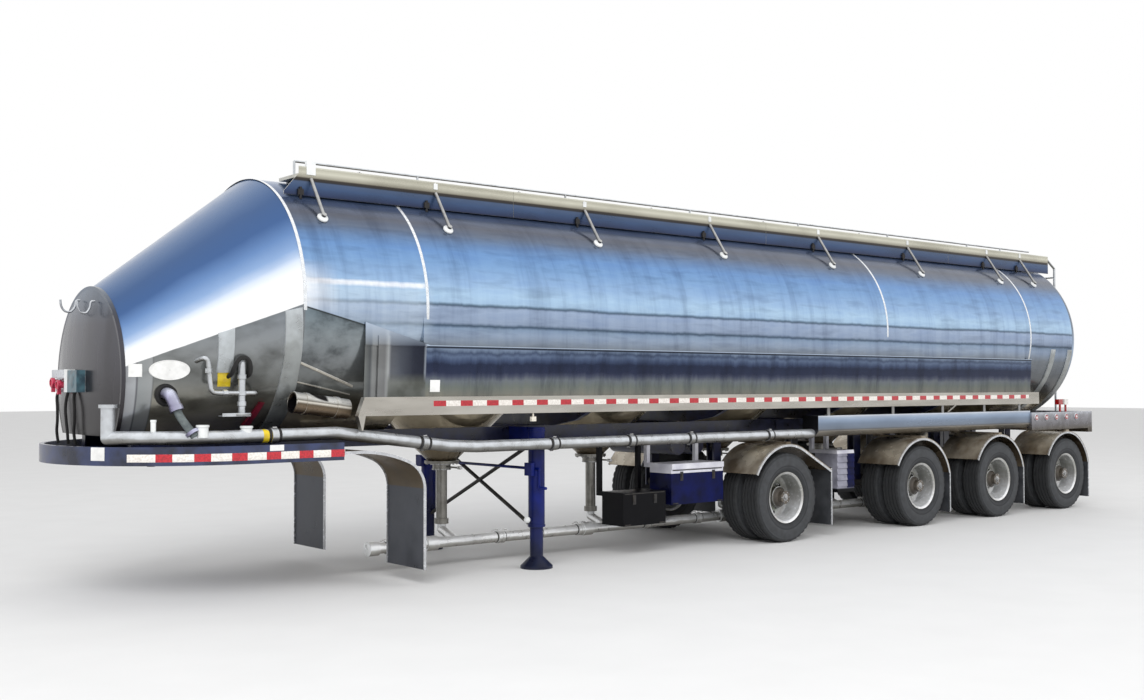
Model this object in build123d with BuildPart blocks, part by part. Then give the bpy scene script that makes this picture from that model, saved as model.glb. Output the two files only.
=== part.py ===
from build123d import *
import math
import os

# Dry bulk tank semi-trailer, in millimetres: X forward, Y to the left, Z up.
# The origin is on the ground under the middle of the overall length.
os.makedirs("parts", exist_ok=True)

FIT_GAP = 0.3               # between curved faces that rest on each other
RUNNING_GAP = 0.5           # between a hub and its spindle

# Tank barrel: a round roof over straight side walls, with a row of hoppers below
BARREL_RADIUS = 1250.0
BARREL_AXIS_Z = 2555.0
BARREL_FRONT_X = 5800.0
BARREL_REAR_X = -7085.0
SIDE_BREAK_Z = 2230.0       # the crease where the straight side wall ends
SIDE_WALL = 50.0
BELLY_CUT = 125.0           # how much the flat belly of the nose and the tail cuts off the circle

# Hoppers
HOPPER_FRONT_X = 3550.0
HOPPER_PITCH = 2065.0
HOPPER_COUNT = 5
OUTLET_Z = 1065.0
OUTLET_RADIUS = 150.0
HOPPER_SLOPE = 44.0         # degrees from the ground
OUTLET_FLANGE = 30.0        # rim round the outlet, beyond its radius
FLANGE_THICKNESS = 28.0
DROP_PIPE_RADIUS = 58.0
DROP_BOTTOM_Z = 430.0
DROP_LEANS = (0.0, 0.0, -120.0, 0.0, 0.0)   # for each hopper: the third passes behind the lift axle
VALVE_RADIUS = 95.0
VALVE_HEIGHT = 70.0
VALVE_LEVER = 260.0

# Oblique nose cone and the two heads
NOSE_FRONT_X = 7205.0
NOSE_RADIUS = 800.0
NOSE_AXIS_Z = 1910.0
HEAD_LIP = 14.0
HEAD_LIP_LENGTH = 34.0
FRONT_HEAD_BULGE = 70.0
REAR_HEAD_DEPTH = 400.0
KNUCKLE_RADIUS = 220.0

# Bands round the lower half of the barrel and of the nose
BAND_WIDTH = 120.0
BAND_THICKNESS = 14.0
BAND_TOP_Z = 2385.0
BAND_XS = (5680.0, -6610.0, -7085.0)    # rear edge of each band on the barrel
NOSE_BAND_X = 6370.0
NOSE_BAND_TOP_Z = 2330.0

# Side skirts and the side rails under them
SKIRT_FRONT_X = 5205.0
SKIRT_REAR_X = -5925.0
SKIRT_RISE = 196.0          # height of the front corner above the crease
SKIRT_RISE_LENGTH = 690.0
SKIRT_THICKNESS = 8.0
SKIRT_LEAN = 28.0           # how far the lower edge stands in
CREASE_STRIP = 16.0         # height of the strip along the top edge
STRAP_X = 4938.0
STRAP_WIDTH = 137.0
STRAP_RISE = 80.0           # top of the strap above the crease
STRAP_THICKNESS = 10.0
RAIL_TOP_Z = 1750.0
RAIL_BOTTOM_Z = 1580.0
RAIL_PROUD = 12.0           # the rail stands out past the barrel
RAIL_DEPTH = 60.0
RAIL_REAR_X = -6100.0
GUSSET_DROP = 130.0
GUSSET_REACH = 75.0
GUSSET_SHEET = 12.0

# Chassis frame
BEAM_CLEARANCE = 2.0        # between a beam's top edge and the hopper beside it
BEAM_WIDTH = 80.0
BEAM_BOTTOM_Z = 1278.0
BEAM_FRONT_X = 7080.0
CROSS_WIDTH = 60.0
CROSS_TOP_Z = 1660.0

# Upper coupler and kingpin: the plate's front is a half circle about COUPLER_CENTRE_X
COUPLER_CENTRE_X = 6305.0
COUPLER_REAR_X = 5430.0
COUPLER_HALF_WIDTH = 1280.0
COUPLER_BOTTOM_Z = 1197.0
COUPLER_RIM_TOP_Z = 1352.0
COUPLER_RIM = 40.0
KINGPIN_X = 6671.0
KINGPIN_SHANK_RADIUS = 36.5
KINGPIN_HEAD_RADIUS = 90.0
KINGPIN_HEAD_HEIGHT = 14.0
KINGPIN_NECK_RADIUS = 25.4
KINGPIN_COLLAR_RADIUS = 36.0
KINGPIN_NECK_LENGTH = 50.0
KINGPIN_COLLAR_LENGTH = 18.0

# Wheels
TYRE_RADIUS = 527.0
TYRE_HALF_WIDTH = 139.5
TREAD_HALF_WIDTH = 112.0
BEAD_HALF_WIDTH = 100.0
SIDEWALL_WIDEST = 415.0     # radius where the sidewall bulges most
RIM_RADIUS = 286.0
FLANGE_RADIUS = 302.0
RIM_WALL = 12.0
FLANGE_WIDTH = 14.0
DISC_THICKNESS = 22.0       # each of the two discs, back to back
DISC_EDGE_RADIUS = 244.0    # where each disc turns into its rim
DISH_DEPTH = 60.0
OUTER_WHEEL_Y = 1150.0
DUAL_SPACING = 340.0
HUB_RADIUS = 118.0
HUB_OUTER_Y = 1190.0
HUB_CHAMFER = 40.0
HUB_CAP_RADIUS = 78.0
HUB_CAP_LENGTH = 55.0
DRUM_RADIUS = 205.0
DRUM_INNER_Y = 660.0
SPINDLE_RADIUS = 45.0
AXLE_TUBE_RADIUS = 63.5
AXLE_TUBE_END_Y = 630.0
LIFT_AXLE_X = -485.0
TRIDEM_FRONT_X = -3168.0
TRIDEM_SPACING = 1829.0

# Suspension: a forked hanger, a trailing arm over the axle and an air spring behind it
HANGER_AHEAD = 480.0        # pivot ahead of the axle
HANGER_LENGTH = 130.0
PIVOT_Z = 645.0
PIVOT_RADIUS = 46.0
CHEEK = 18.0
ARM_GAP = 1.0
ARM_WIDTH = 80.0
ARM_INSET = 30.0            # the arm stands this far inside the beam's inner face
ARM_HEIGHT = 70.0
ARM_REAR = 420.0
SPRING_BEHIND = 300.0
SPRING_RADIUS = 118.0
SPRING_WAIST = 88.0
SPRING_HEIGHT = 330.0
TOWER_HALF = 52.0

# Wheel fenders and mud flaps
FENDER_RADIUS = 628.0
FENDER_SHEET = 8.0
FENDER_FRONT_ANGLE = 28.0
FENDER_REAR_ANGLE = 166.0
LIFT_FENDER_ANGLE = 118.0   # the lift axle's arch ends here and runs on straight
LIFT_FENDER_TAIL = 568.0
FENDER_INNER_Y = 665.0
FENDER_OUTER_Y = 1300.0
FLAP_SHEET = 8.0
FLAP_BOTTOM_Z = 150.0
FLAP_INSET = 12.0
FLAP_OVERLAP = 30.0
FENDER_ARM = 26.0
FENDER_ARM_HALF = 40.0

# Quarter fenders behind the towing vehicle's wheels: two arcs from the coupler down to a tall flap
QUARTER_REAR_X = 4575.0
QUARTER_TOP_Z = 1272.0
QUARTER_KNEE_Z = 890.0
QUARTER_KNEE_RADIUS = 300.0
QUARTER_LEAD = 150.0
QUARTER_BOTTOM_Z = 150.0
QUARTER_INNER_Y = 625.0
QUARTER_OUTER_Y = 1284.0
QUARTER_SHEET = 12.0

# Landing legs
LEG_X = 3060.0
LEG_Y = 1000.0
LEG_RADIUS = 84.0
LEG_INNER_RADIUS = 68.0
LEG_TUBE_BOTTOM_Z = 420.0
LEG_BRACKET_HALF = 60.0
SHOE_HEIGHT = 26.0
SHOE_RADIUS = 165.0
SHOE_CONE_HEIGHT = 120.0
CROSS_SHAFT_RADIUS = 15.0
CROSS_SHAFT_Z = 1010.0
CROSS_SHAFT_AHEAD = 50.0
CRANK_THROW = 190.0
CRANK_GRIP = 110.0
BRACE_RADIUS = 20.0
BRACE_LOW_Z = 382.0
BRACE_HIGH_Z = 1295.0

# Manholes and lids
MANHOLE_FRONT_X = 4700.0
MANHOLE_PITCH = 1975.0
MANHOLE_COUNT = 5
MANHOLE_RADIUS = 254.0
COLLAR_WALL = 12.0
COLLAR_HEIGHT = 92.0        # above the barrel's top
LID_GAP = 5.0
LID_RADIUS = 284.0
LID_THICKNESS = 24.0
LID_DOME = 26.0
LID_CROWN = 0.6             # share of the lid's radius that is flat on top
HINGE_OUT = 38.0            # pin outside the lid's edge
HINGE_PIN_RADIUS = 9.0
HINGE_LENGTH = 120.0
EAR_HALF = 20.0
EAR_THICKNESS = 16.0
EAR_DEPTH = 30.0
KNUCKLE_WALL = 10.0

# Vents on the roof
VENT_XS = (-4700.0, -6650.0, -6950.0)
VENT_RADIUS = 62.0
VENT_CAP_RADIUS = 88.0
VENT_HEIGHT = 95.0
VENT_CAP_HEIGHT = 34.0

# Walkway on the left shoulder of the barrel
WALK_FRONT_X = 5600.0
WALK_REAR_X = -7325.0
WALK_INNER_Y = 330.0
WALK_OUTER_Y = 730.0
WALK_CLEARANCE = 10.0       # between the deck's inner edge and the barrel
WALK_SHEET = 30.0
FASCIA_CLEARANCE = 18.0
FASCIA_SHEET = 10.0
FASCIA_SLOPE = 150.0        # the fascia's lower front corner lies this far ahead of the deck
TOE_HEIGHT = 65.0
PAD_RADIUS = 45.0
PAD_Y = 950.0
PAD_THICKNESS = 16.0
STUD_HEIGHT = 56.0
STRUT_RADIUS = 16.0
CLIP_WIDTH = 45.0
WALK_JOINTS = (-4630.0, -750.0, 3150.0)
WALK_JOINT_GAP = 4.0
WALK_BRACKETS = (5480.0, 4115.0, 2185.0, 245.0, -1745.0, -3655.0, -5605.0, -6505.0)
RAIL_HEIGHT = 165.0         # roof rail above the deck
RAIL_TUBE_RADIUS = 12.0
ROOF_RAIL_Y = 400.0

# Ladder at the tail
LADDER_X = -7560.0
LADDER_TUBE = 18.0
RUNG_RADIUS = 13.0
RUNG_PITCH = 300.0
LADDER_SHOULDER = 110.0     # height of the bend below the walkway

# Upper air pipe: a riser before the head, round the coupler's rim, then along the left side
TRAY_FRONT_X = -1085.0
AIR_PIPE_RADIUS = 57.0
AIR_PIPE_ROUTE = ((7325.0, 750.0, 1700.0), (7325.0, 750.0, 1425.0), (6960.0, 1030.0, 1422.0),
                  (6520.0, 1150.0, 1421.0), (5440.0, 1150.0, 1431.0), (4795.0, 1150.0, 1350.0),
                  (4235.0, 1150.0, 1280.0), (3900.0, 1150.0, 1263.0), (TRAY_FRONT_X, 1150.0, 1263.0))
CLAMP_XS = (6050.0, 4520.0, 2963.0, 1907.0, 1004.0, -300.0)
CLAMP_WIDTH = 60.0
CLAMP_WALL = 9.0

# Small piping on the nose: an elbow that slants down and a branch beside it
NOSE_ELBOW = ((6930.0, 780.0, 1800.0), (6930.0, 960.0, 1780.0), (6800.0, 1080.0, 1560.0))
NOSE_ELBOW_RADIUS = 50.0
NOSE_BRANCH = ((6621.0, 1085.0, 2075.0), (6585.0, 1085.0, 1792.0), (6190.0, 1085.0, 1792.0))
NOSE_BRANCH_RADIUS = 20.0
NOSE_STACK = ((6310.0, 1085.0, 2060.0), (6310.0, 1085.0, 1620.0))
NOSE_STACK_RADIUS = 32.0

# Connection box and hose hooks on the front head
BOX_Y = (-630.0, 140.0)
BOX_Z = (1800.0, 1990.0)
BOX_PLATE = 16.0
BOX_DEPTH = 75.0
BOX_WIDTH = 257.0
SOCKETS = (-560.0, -400.0)
SOCKET_RADIUS = 42.0
LINE_YS = (-520.0, -250.0)
LINE_RADIUS = 14.0
HOOK_YS = (-410.0, -150.0)
HOOK_RADIUS = 105.0
HOOK_TUBE = 11.0
HOOK_BALL = 1.45
HOOK_Z = 2480.0
HOOK_OUT = 60.0

# Product pipe under the hoppers
PRODUCT_PIPE_RADIUS = 55.0
PRODUCT_PIPE_Y = 350.0
PRODUCT_PIPE_Z = 255.0
PRODUCT_PIPE_FRONT_X = 4650.0
PRODUCT_PIPE_REAR_PAST = 300.0
DROP_ELBOW_Z = 345.0
COUPLING_RADIUS = 74.0
COUPLING_LENGTH = 130.0
COUPLING_AHEAD = 300.0      # coupling ahead of each branch
CAMLOCK_RADIUS = 72.0
CAMLOCK_LENGTH = 110.0

# Hose trays, rear bumper and lamps
TRAY_REAR_X = -5865.0
TRAY_BOTTOM_Z = 1228.0
TRAY_TOP_Z = 1480.0
TRAY_OUTER_Y = 1255.0
TRAY_INNER_Y = 1010.0
TRAY_CLEARANCE = 12.0
TRAY_CHAMFER = 60.0
TRAY_HANGER_XS = (-1300.0, -2600.0, -3700.0, -4700.0, -5600.0)
TRAY_HANGER_WIDTH = 50.0
TRAY_HANGER_SHEET = 10.0
BUMPER_REAR_X = -7585.0
BUMPER_BOTTOM_Z = 1135.0
BUMPER_TOP_Z = 1452.0
BUMPER_DEPTH = 120.0
BUMPER_OUTER_Y = 1280.0
WING_THICKNESS = 60.0
WING_LIFT = 60.0
SIDE_LAMP_XS = (-5980.0, -6255.0, -6535.0, -6820.0, -7105.0)
SIDE_LAMP_Z = 1378.0
SIDE_LAMP_RADIUS = 36.0
TAIL_LAMP_YS = (700.0, 860.0, 1020.0)
TAIL_LAMP_RADIUS = 55.0
TAIL_LAMP_Z = 1300.0
LAMP_DEPTH = 14.0
MARKER_XS = (-6740.0, -6900.0)
MARKER_Y = (1185.0, 1245.0)
MARKER_Z = (1560.0, 1640.0)
MARKER_LENGTH = 110.0
MARKER_STEM = 16.0

# Air tanks, and the boxes that hang beside the frame
AIR_TANK_RADIUS = 120.0
AIR_TANK_LENGTH = 1100.0
AIR_TANK_SPREAD = 150.0
BLACK_BOX = ((1250.0, 1880.0), (660.0, 1010.0), (330.0, 690.0))
BLUE_BOX = ((330.0, 1160.0), (660.0, 1010.0), (520.0, 975.0))
BLUE_BOX_LID = 60.0
GRILLE_BOX = ((-2080.0, -1740.0), (660.0, 1010.0), (500.0, 1030.0))
HANGER_STRAP = 50.0
LOUVRE_COUNT = 7
LOUVRE_DEPTH = 14.0

BELLY_Z = BARREL_AXIS_Z - BARREL_RADIUS + BELLY_CUT
BARREL_TOP_Z = BARREL_AXIS_Z + BARREL_RADIUS
COLLAR_TOP_Z = BARREL_TOP_Z + COLLAR_HEIGHT
VALVE_BOTTOM_Z = OUTLET_Z - FLANGE_THICKNESS - VALVE_HEIGHT
HOPPERS = [HOPPER_FRONT_X - i * HOPPER_PITCH for i in range(HOPPER_COUNT)]
BAY_FRONT_X = HOPPERS[0] + HOPPER_PITCH / 2
BAY_REAR_X = HOPPERS[-1] - HOPPER_PITCH / 2
MANHOLES = [MANHOLE_FRONT_X - i * MANHOLE_PITCH for i in range(MANHOLE_COUNT)]
INNER_WHEEL_Y = OUTER_WHEEL_Y - DUAL_SPACING
DISC_Y = (OUTER_WHEEL_Y + INNER_WHEEL_Y) / 2
BEAM_INNER_Y = OUTLET_RADIUS + (BELLY_Z - OUTLET_Z) / math.tan(math.radians(HOPPER_SLOPE)) + BEAM_CLEARANCE
BEAM_OUTER_Y = BEAM_INNER_Y + BEAM_WIDTH
BEAM_REAR_X = BUMPER_REAR_X + BUMPER_DEPTH
ARM_INNER_Y = BEAM_INNER_Y - ARM_INSET
RAIL_OUTER_Y = BARREL_RADIUS + RAIL_PROUD
RAIL_INNER_Y = RAIL_OUTER_Y - RAIL_DEPTH
SIDES = (("left", 1), ("right", -1))
AXLES = (("lift", LIFT_AXLE_X), ("front", TRIDEM_FRONT_X),
         ("middle", TRIDEM_FRONT_X - TRIDEM_SPACING), ("rear", TRIDEM_FRONT_X - 2 * TRIDEM_SPACING))


def barrel_z(y):
    """Height of the barrel's roof at the distance y from the middle."""
    return BARREL_AXIS_Z + math.sqrt(BARREL_RADIUS ** 2 - y ** 2)


def block(x, y, z):
    """Add a block between the two values of each range."""
    with Locations(((x[0] + x[1]) / 2, (y[0] + y[1]) / 2, (z[0] + z[1]) / 2)):
        Box(abs(x[1] - x[0]), abs(y[1] - y[0]), abs(z[1] - z[0]))


def prism(plane, points, depth):
    """Add the outline through the points, extruded along the plane's normal."""
    with BuildSketch(plane) as outline:
        Polygon(*points, align=None)
    extrude(outline.sketch, amount=depth)


def side_prism(side, y, points):
    """Add an outline in X and Z, extruded across between the two distances y on one side."""
    prism(Plane.XZ.offset(-side * y[0]), points, -side * (y[1] - y[0]))


def turned(plane, points, axis):
    """Add the outline through the points, turned about the axis."""
    with BuildSketch(plane) as outline:
        Polygon(*points, align=None)
    revolve(outline.sketch, axis=axis)


def upright_profile(x, y, points):
    """Add a shape turned about a standing axis from points of radius and height."""
    turned(Plane(origin=(x, y, 0), x_dir=(1, 0, 0), z_dir=(0, -1, 0)), points, Axis((x, y, 0), (0, 0, 1)))


def rod(start, end, radius):
    """Add a round bar between two points."""
    run = Vector(*end) - Vector(*start)
    with BuildSketch(Plane(origin=start, z_dir=run.normalized())) as section:
        Circle(radius)
    extrude(section.sketch, amount=run.length)


def tube(points, radius, ball=1.0):
    """Add round bars through the points with a ball at each bend, given as a share of the bar's radius."""
    for start, end in zip(points, points[1:]):
        rod(start, end, radius)
    for bend in points[1:-1]:
        with Locations(bend):
            Sphere(radius * ball)


def upright(x, y, z, radius):
    """Add a standing round bar between the two values of z."""
    rod((x, y, z[0]), (x, y, z[1]), radius)


def hung_box(box):
    """Add a box with a strap at each end, up to the frame beam it hangs from."""
    x, y, z = box
    block(x, y, z)
    for strap_x in (x[0], x[1] - HANGER_STRAP):
        block((strap_x, strap_x + HANGER_STRAP), (BEAM_OUTER_Y - HANGER_STRAP, y[0] + HANGER_STRAP),
              (z[1] - HANGER_STRAP, z[1]))
        block((strap_x, strap_x + HANGER_STRAP), (BEAM_OUTER_Y - HANGER_STRAP, BEAM_OUTER_Y),
              (z[1] - HANGER_STRAP, BEAM_BOTTOM_Z))


# One hopper bay: the barrel's section with straight sides, trimmed by a funnel above the outlet
inner_side_y = BARREL_RADIUS - SIDE_WALL
funnel_reach = HOPPER_PITCH + BARREL_RADIUS
funnel_top_z = OUTLET_Z + (funnel_reach - OUTLET_RADIUS) * math.tan(math.radians(HOPPER_SLOPE))
with BuildPart() as bay:
    with BuildSketch(Plane.YZ.offset(HOPPERS[0] - HOPPER_PITCH / 2)):
        with BuildLine():
            roof = CenterArc((0, BARREL_AXIS_Z), BARREL_RADIUS, 0, 180)
            Polyline(roof @ 1, (-BARREL_RADIUS, SIDE_BREAK_Z), (-inner_side_y, SIDE_BREAK_Z),
                     (-inner_side_y, OUTLET_Z), (inner_side_y, OUTLET_Z), (inner_side_y, SIDE_BREAK_Z),
                     (BARREL_RADIUS, SIDE_BREAK_Z), roof @ 0)
        make_face()
    extrude(amount=HOPPER_PITCH)
    with BuildSketch(Plane.XZ):
        Polygon((HOPPERS[0], OUTLET_Z), (HOPPERS[0] + OUTLET_RADIUS, OUTLET_Z),
                (HOPPERS[0] + funnel_reach, funnel_top_z), (HOPPERS[0], funnel_top_z), align=None)
    revolve(axis=Axis((HOPPERS[0], 0, 0), (0, 0, 1)), mode=Mode.INTERSECT)

# Barrel: the bays, the side walls along them, and the round ends with a flat belly
with BuildPart() as tank_barrel:
    for start_x, end_x in ((BAY_FRONT_X, BARREL_FRONT_X), (BARREL_REAR_X, BAY_REAR_X)):
        with BuildSketch(Plane.YZ.offset(start_x)):
            with Locations((0, BARREL_AXIS_Z)):
                Circle(BARREL_RADIUS)
        extrude(amount=end_x - start_x)
    split(bisect_by=Plane.XY.offset(BELLY_Z), keep=Keep.TOP)
    with Locations(*[(x - HOPPERS[0], 0, 0) for x in HOPPERS]):
        add(bay.part)
    for side_name, side in SIDES:
        block((BAY_REAR_X, BAY_FRONT_X), (side * inner_side_y, side * BARREL_RADIUS),
              (SIDE_BREAK_Z, BARREL_AXIS_Z))
tank_barrel.part.label = "tank_barrel"
export_step(tank_barrel.part, "parts/tank_barrel.step")

# Nose: an oblique cone from the barrel down to the smaller front head
with BuildPart() as tank_nose:
    with BuildSketch(Plane.YZ.offset(BARREL_FRONT_X)):
        with Locations((0, BARREL_AXIS_Z)):
            Circle(BARREL_RADIUS)
    with BuildSketch(Plane.YZ.offset(NOSE_FRONT_X)):
        with Locations((0, NOSE_AXIS_Z)):
            Circle(NOSE_RADIUS)
    loft(ruled=True)
    split(bisect_by=Plane.XY.offset(BELLY_Z), keep=Keep.TOP)
tank_nose.part.label = "tank_nose"
export_step(tank_nose.part, "parts/tank_nose.step")

# Front head: a shallow dome inside a short lip, cut off level with the belly
dome_edge = NOSE_RADIUS - HEAD_LIP
dome_radius = (FRONT_HEAD_BULGE ** 2 + dome_edge ** 2) / (2 * FRONT_HEAD_BULGE)
with BuildPart() as front_head:
    with BuildSketch(Plane(origin=(NOSE_FRONT_X, 0, NOSE_AXIS_Z), x_dir=(1, 0, 0), z_dir=(0, -1, 0))):
        with BuildLine():
            dome = JernArc(start=(HEAD_LIP_LENGTH + FRONT_HEAD_BULGE, 0), tangent=(0, 1), radius=dome_radius,
                           arc_size=math.degrees(math.asin(dome_edge / dome_radius)))
            Polyline(dome @ 1, (HEAD_LIP_LENGTH, NOSE_RADIUS + HEAD_LIP), (0, NOSE_RADIUS + HEAD_LIP),
                     (0, 0), dome @ 0)
        make_face()
    revolve(axis=Axis((NOSE_FRONT_X, 0, NOSE_AXIS_Z), (1, 0, 0)))
    split(bisect_by=Plane.XY.offset(BELLY_Z), keep=Keep.TOP)
front_head.part.label = "front_head"
export_step(front_head.part, "parts/front_head.step")

# Rear head: a crown of one radius that turns into the barrel by a tight knuckle
crown_radius = ((REAR_HEAD_DEPTH ** 2 + (BARREL_RADIUS - KNUCKLE_RADIUS) ** 2 - KNUCKLE_RADIUS ** 2)
                / (2 * (REAR_HEAD_DEPTH - KNUCKLE_RADIUS)))
knuckle_reach = (BARREL_RADIUS - KNUCKLE_RADIUS) / (crown_radius - KNUCKLE_RADIUS)
knuckle_turn = 90 - math.degrees(math.asin(knuckle_reach))
with BuildPart() as rear_head:
    with BuildSketch(Plane(origin=(BARREL_REAR_X, 0, BARREL_AXIS_Z), x_dir=(1, 0, 0), z_dir=(0, -1, 0))):
        with BuildLine():
            knuckle = JernArc(start=(0, BARREL_RADIUS), tangent=(-1, 0), radius=KNUCKLE_RADIUS,
                              arc_size=knuckle_turn)
            crown = JernArc(start=knuckle @ 1, tangent=knuckle % 1, radius=crown_radius,
                            arc_size=90 - knuckle_turn)
            Polyline(crown @ 1, (0, 0), (0, BARREL_RADIUS))
        make_face()
    revolve(axis=Axis((BARREL_REAR_X, 0, BARREL_AXIS_Z), (1, 0, 0)))
    split(bisect_by=Plane.XY.offset(BELLY_Z), keep=Keep.TOP)
rear_head.part.label = "rear_head"
export_step(rear_head.part, "parts/rear_head.step")

# Bands round the lower half of the barrel, and one on the nose
with BuildPart() as nose_band:
    for grow, mode in ((BAND_THICKNESS, Mode.ADD), (FIT_GAP, Mode.SUBTRACT)):
        with BuildSketch(Plane.YZ.offset(BARREL_FRONT_X)) as back:
            with Locations((0, BARREL_AXIS_Z)):
                Circle(BARREL_RADIUS + grow)
        with BuildSketch(Plane.YZ.offset(NOSE_FRONT_X)) as front:
            with Locations((0, NOSE_AXIS_Z)):
                Circle(NOSE_RADIUS + grow)
        loft(sections=[back.sketch, front.sketch], ruled=True, mode=mode)
    with Locations((NOSE_BAND_X + BAND_WIDTH / 2, 0, (BELLY_Z + NOSE_BAND_TOP_Z) / 2)):
        Box(BAND_WIDTH, 3 * BARREL_RADIUS, NOSE_BAND_TOP_Z - BELLY_Z, mode=Mode.INTERSECT)

with BuildPart() as tank_bands:
    for start_x in BAND_XS:
        with BuildSketch(Plane.YZ.offset(start_x)):
            with Locations((0, BARREL_AXIS_Z)):
                Circle(BARREL_RADIUS + BAND_THICKNESS)
                Circle(BARREL_RADIUS + FIT_GAP, mode=Mode.SUBTRACT)
            with Locations((0, (BELLY_Z + BAND_TOP_Z) / 2)):
                Rectangle(3 * BARREL_RADIUS, BAND_TOP_Z - BELLY_Z, mode=Mode.INTERSECT)
        extrude(amount=BAND_WIDTH)
    add(nose_band.part)
tank_bands.part.label = "tank_bands"
export_step(tank_bands.part, "parts/tank_bands.step")

# Hopper outlets: flange, butterfly valve with its lever, and drop pipe down to a coupling ring
with BuildPart() as hopper_outlets:
    for x, lean in zip(HOPPERS, DROP_LEANS):
        upright(x, 0, (OUTLET_Z - FLANGE_THICKNESS, OUTLET_Z), OUTLET_RADIUS + OUTLET_FLANGE)
        upright(x, 0, (VALVE_BOTTOM_Z, OUTLET_Z - FLANGE_THICKNESS), VALVE_RADIUS)
        valve_z = (VALVE_BOTTOM_Z + OUTLET_Z - FLANGE_THICKNESS) / 2
        rod((x, VALVE_RADIUS - CLAMP_WALL, valve_z), (x, VALVE_RADIUS + VALVE_LEVER, valve_z), CLAMP_WALL)
        rod((x, 0, VALVE_BOTTOM_Z), (x + lean, 0, DROP_BOTTOM_Z), DROP_PIPE_RADIUS)
        ring_z = (DROP_BOTTOM_Z - FLANGE_THICKNESS, DROP_BOTTOM_Z + FLANGE_THICKNESS)
        upright(x + lean, 0, ring_z, COUPLING_RADIUS)
hopper_outlets.part.label = "hopper_outlets"
export_step(hopper_outlets.part, "parts/hopper_outlets.step")

# Product pipe: one straight run beside the middle, with a sloped branch from each drop pipe
branch_radius = PRODUCT_PIPE_RADIUS - CLAMP_WALL
with BuildPart() as product_pipe:
    rod((HOPPERS[-1] - PRODUCT_PIPE_REAR_PAST, PRODUCT_PIPE_Y, PRODUCT_PIPE_Z),
        (PRODUCT_PIPE_FRONT_X, PRODUCT_PIPE_Y, PRODUCT_PIPE_Z), PRODUCT_PIPE_RADIUS)
    for x, lean in zip(HOPPERS, DROP_LEANS):
        foot_x = x + lean
        tube(((foot_x, 0, DROP_BOTTOM_Z - FLANGE_THICKNESS), (foot_x, 0, DROP_ELBOW_Z),
              (foot_x + PRODUCT_PIPE_RADIUS, PRODUCT_PIPE_Y, PRODUCT_PIPE_Z)), branch_radius)
        ring_x = foot_x + COUPLING_AHEAD
        rod((ring_x, PRODUCT_PIPE_Y, PRODUCT_PIPE_Z),
            (ring_x + COUPLING_LENGTH, PRODUCT_PIPE_Y, PRODUCT_PIPE_Z), COUPLING_RADIUS)
    rod((PRODUCT_PIPE_FRONT_X - CAMLOCK_LENGTH, PRODUCT_PIPE_Y, PRODUCT_PIPE_Z),
        (PRODUCT_PIPE_FRONT_X, PRODUCT_PIPE_Y, PRODUCT_PIPE_Z), CAMLOCK_RADIUS)
product_pipe.part.label = "product_pipe"
export_step(product_pipe.part, "parts/product_pipe.step")

# Side skirts: leaning sheets from the crease down to the side rails, with a raised front corner
with BuildPart() as side_skirts:
    for side_name, side in SIDES:
        sheet_y = BARREL_RADIUS - SKIRT_THICKNESS
        prism(Plane.YZ.offset(SKIRT_REAR_X),
              ((side * BARREL_RADIUS, SIDE_BREAK_Z), (side * (BARREL_RADIUS - SKIRT_LEAN), RAIL_TOP_Z),
               (side * (sheet_y - SKIRT_LEAN), RAIL_TOP_Z), (side * sheet_y, SIDE_BREAK_Z)),
              SKIRT_FRONT_X - SKIRT_REAR_X)
        block((SKIRT_REAR_X, SKIRT_FRONT_X), (side * sheet_y, side * (BARREL_RADIUS + SKIRT_THICKNESS)),
              (SIDE_BREAK_Z - CREASE_STRIP, SIDE_BREAK_Z))
        side_prism(side, (BARREL_RADIUS + FIT_GAP, BARREL_RADIUS + SKIRT_THICKNESS),
                   ((SKIRT_FRONT_X - SKIRT_RISE_LENGTH, SIDE_BREAK_Z - CREASE_STRIP),
                    (SKIRT_FRONT_X, SIDE_BREAK_Z - CREASE_STRIP), (SKIRT_FRONT_X, SIDE_BREAK_Z + SKIRT_RISE),
                    (SKIRT_FRONT_X - SKIRT_RISE_LENGTH, SIDE_BREAK_Z)))
        strap_y = BARREL_RADIUS + SKIRT_THICKNESS + STRAP_THICKNESS
        middle_y = BARREL_RADIUS - SKIRT_THICKNESS / 2
        strip_z = SIDE_BREAK_Z - CREASE_STRIP / 2
        prism(Plane.YZ.offset(STRAP_X),
              ((side * (BARREL_RADIUS + FIT_GAP), SIDE_BREAK_Z + STRAP_RISE),
               (side * strap_y, SIDE_BREAK_Z + STRAP_RISE),
               (side * strap_y, SIDE_BREAK_Z), (side * (strap_y - SKIRT_LEAN), RAIL_TOP_Z),
               (side * (middle_y - SKIRT_LEAN), RAIL_TOP_Z), (side * middle_y, strip_z),
               (side * (BARREL_RADIUS + FIT_GAP), strip_z)), STRAP_WIDTH)
side_skirts.part.label = "side_skirts"
export_step(side_skirts.part, "parts/side_skirts.step")

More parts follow.
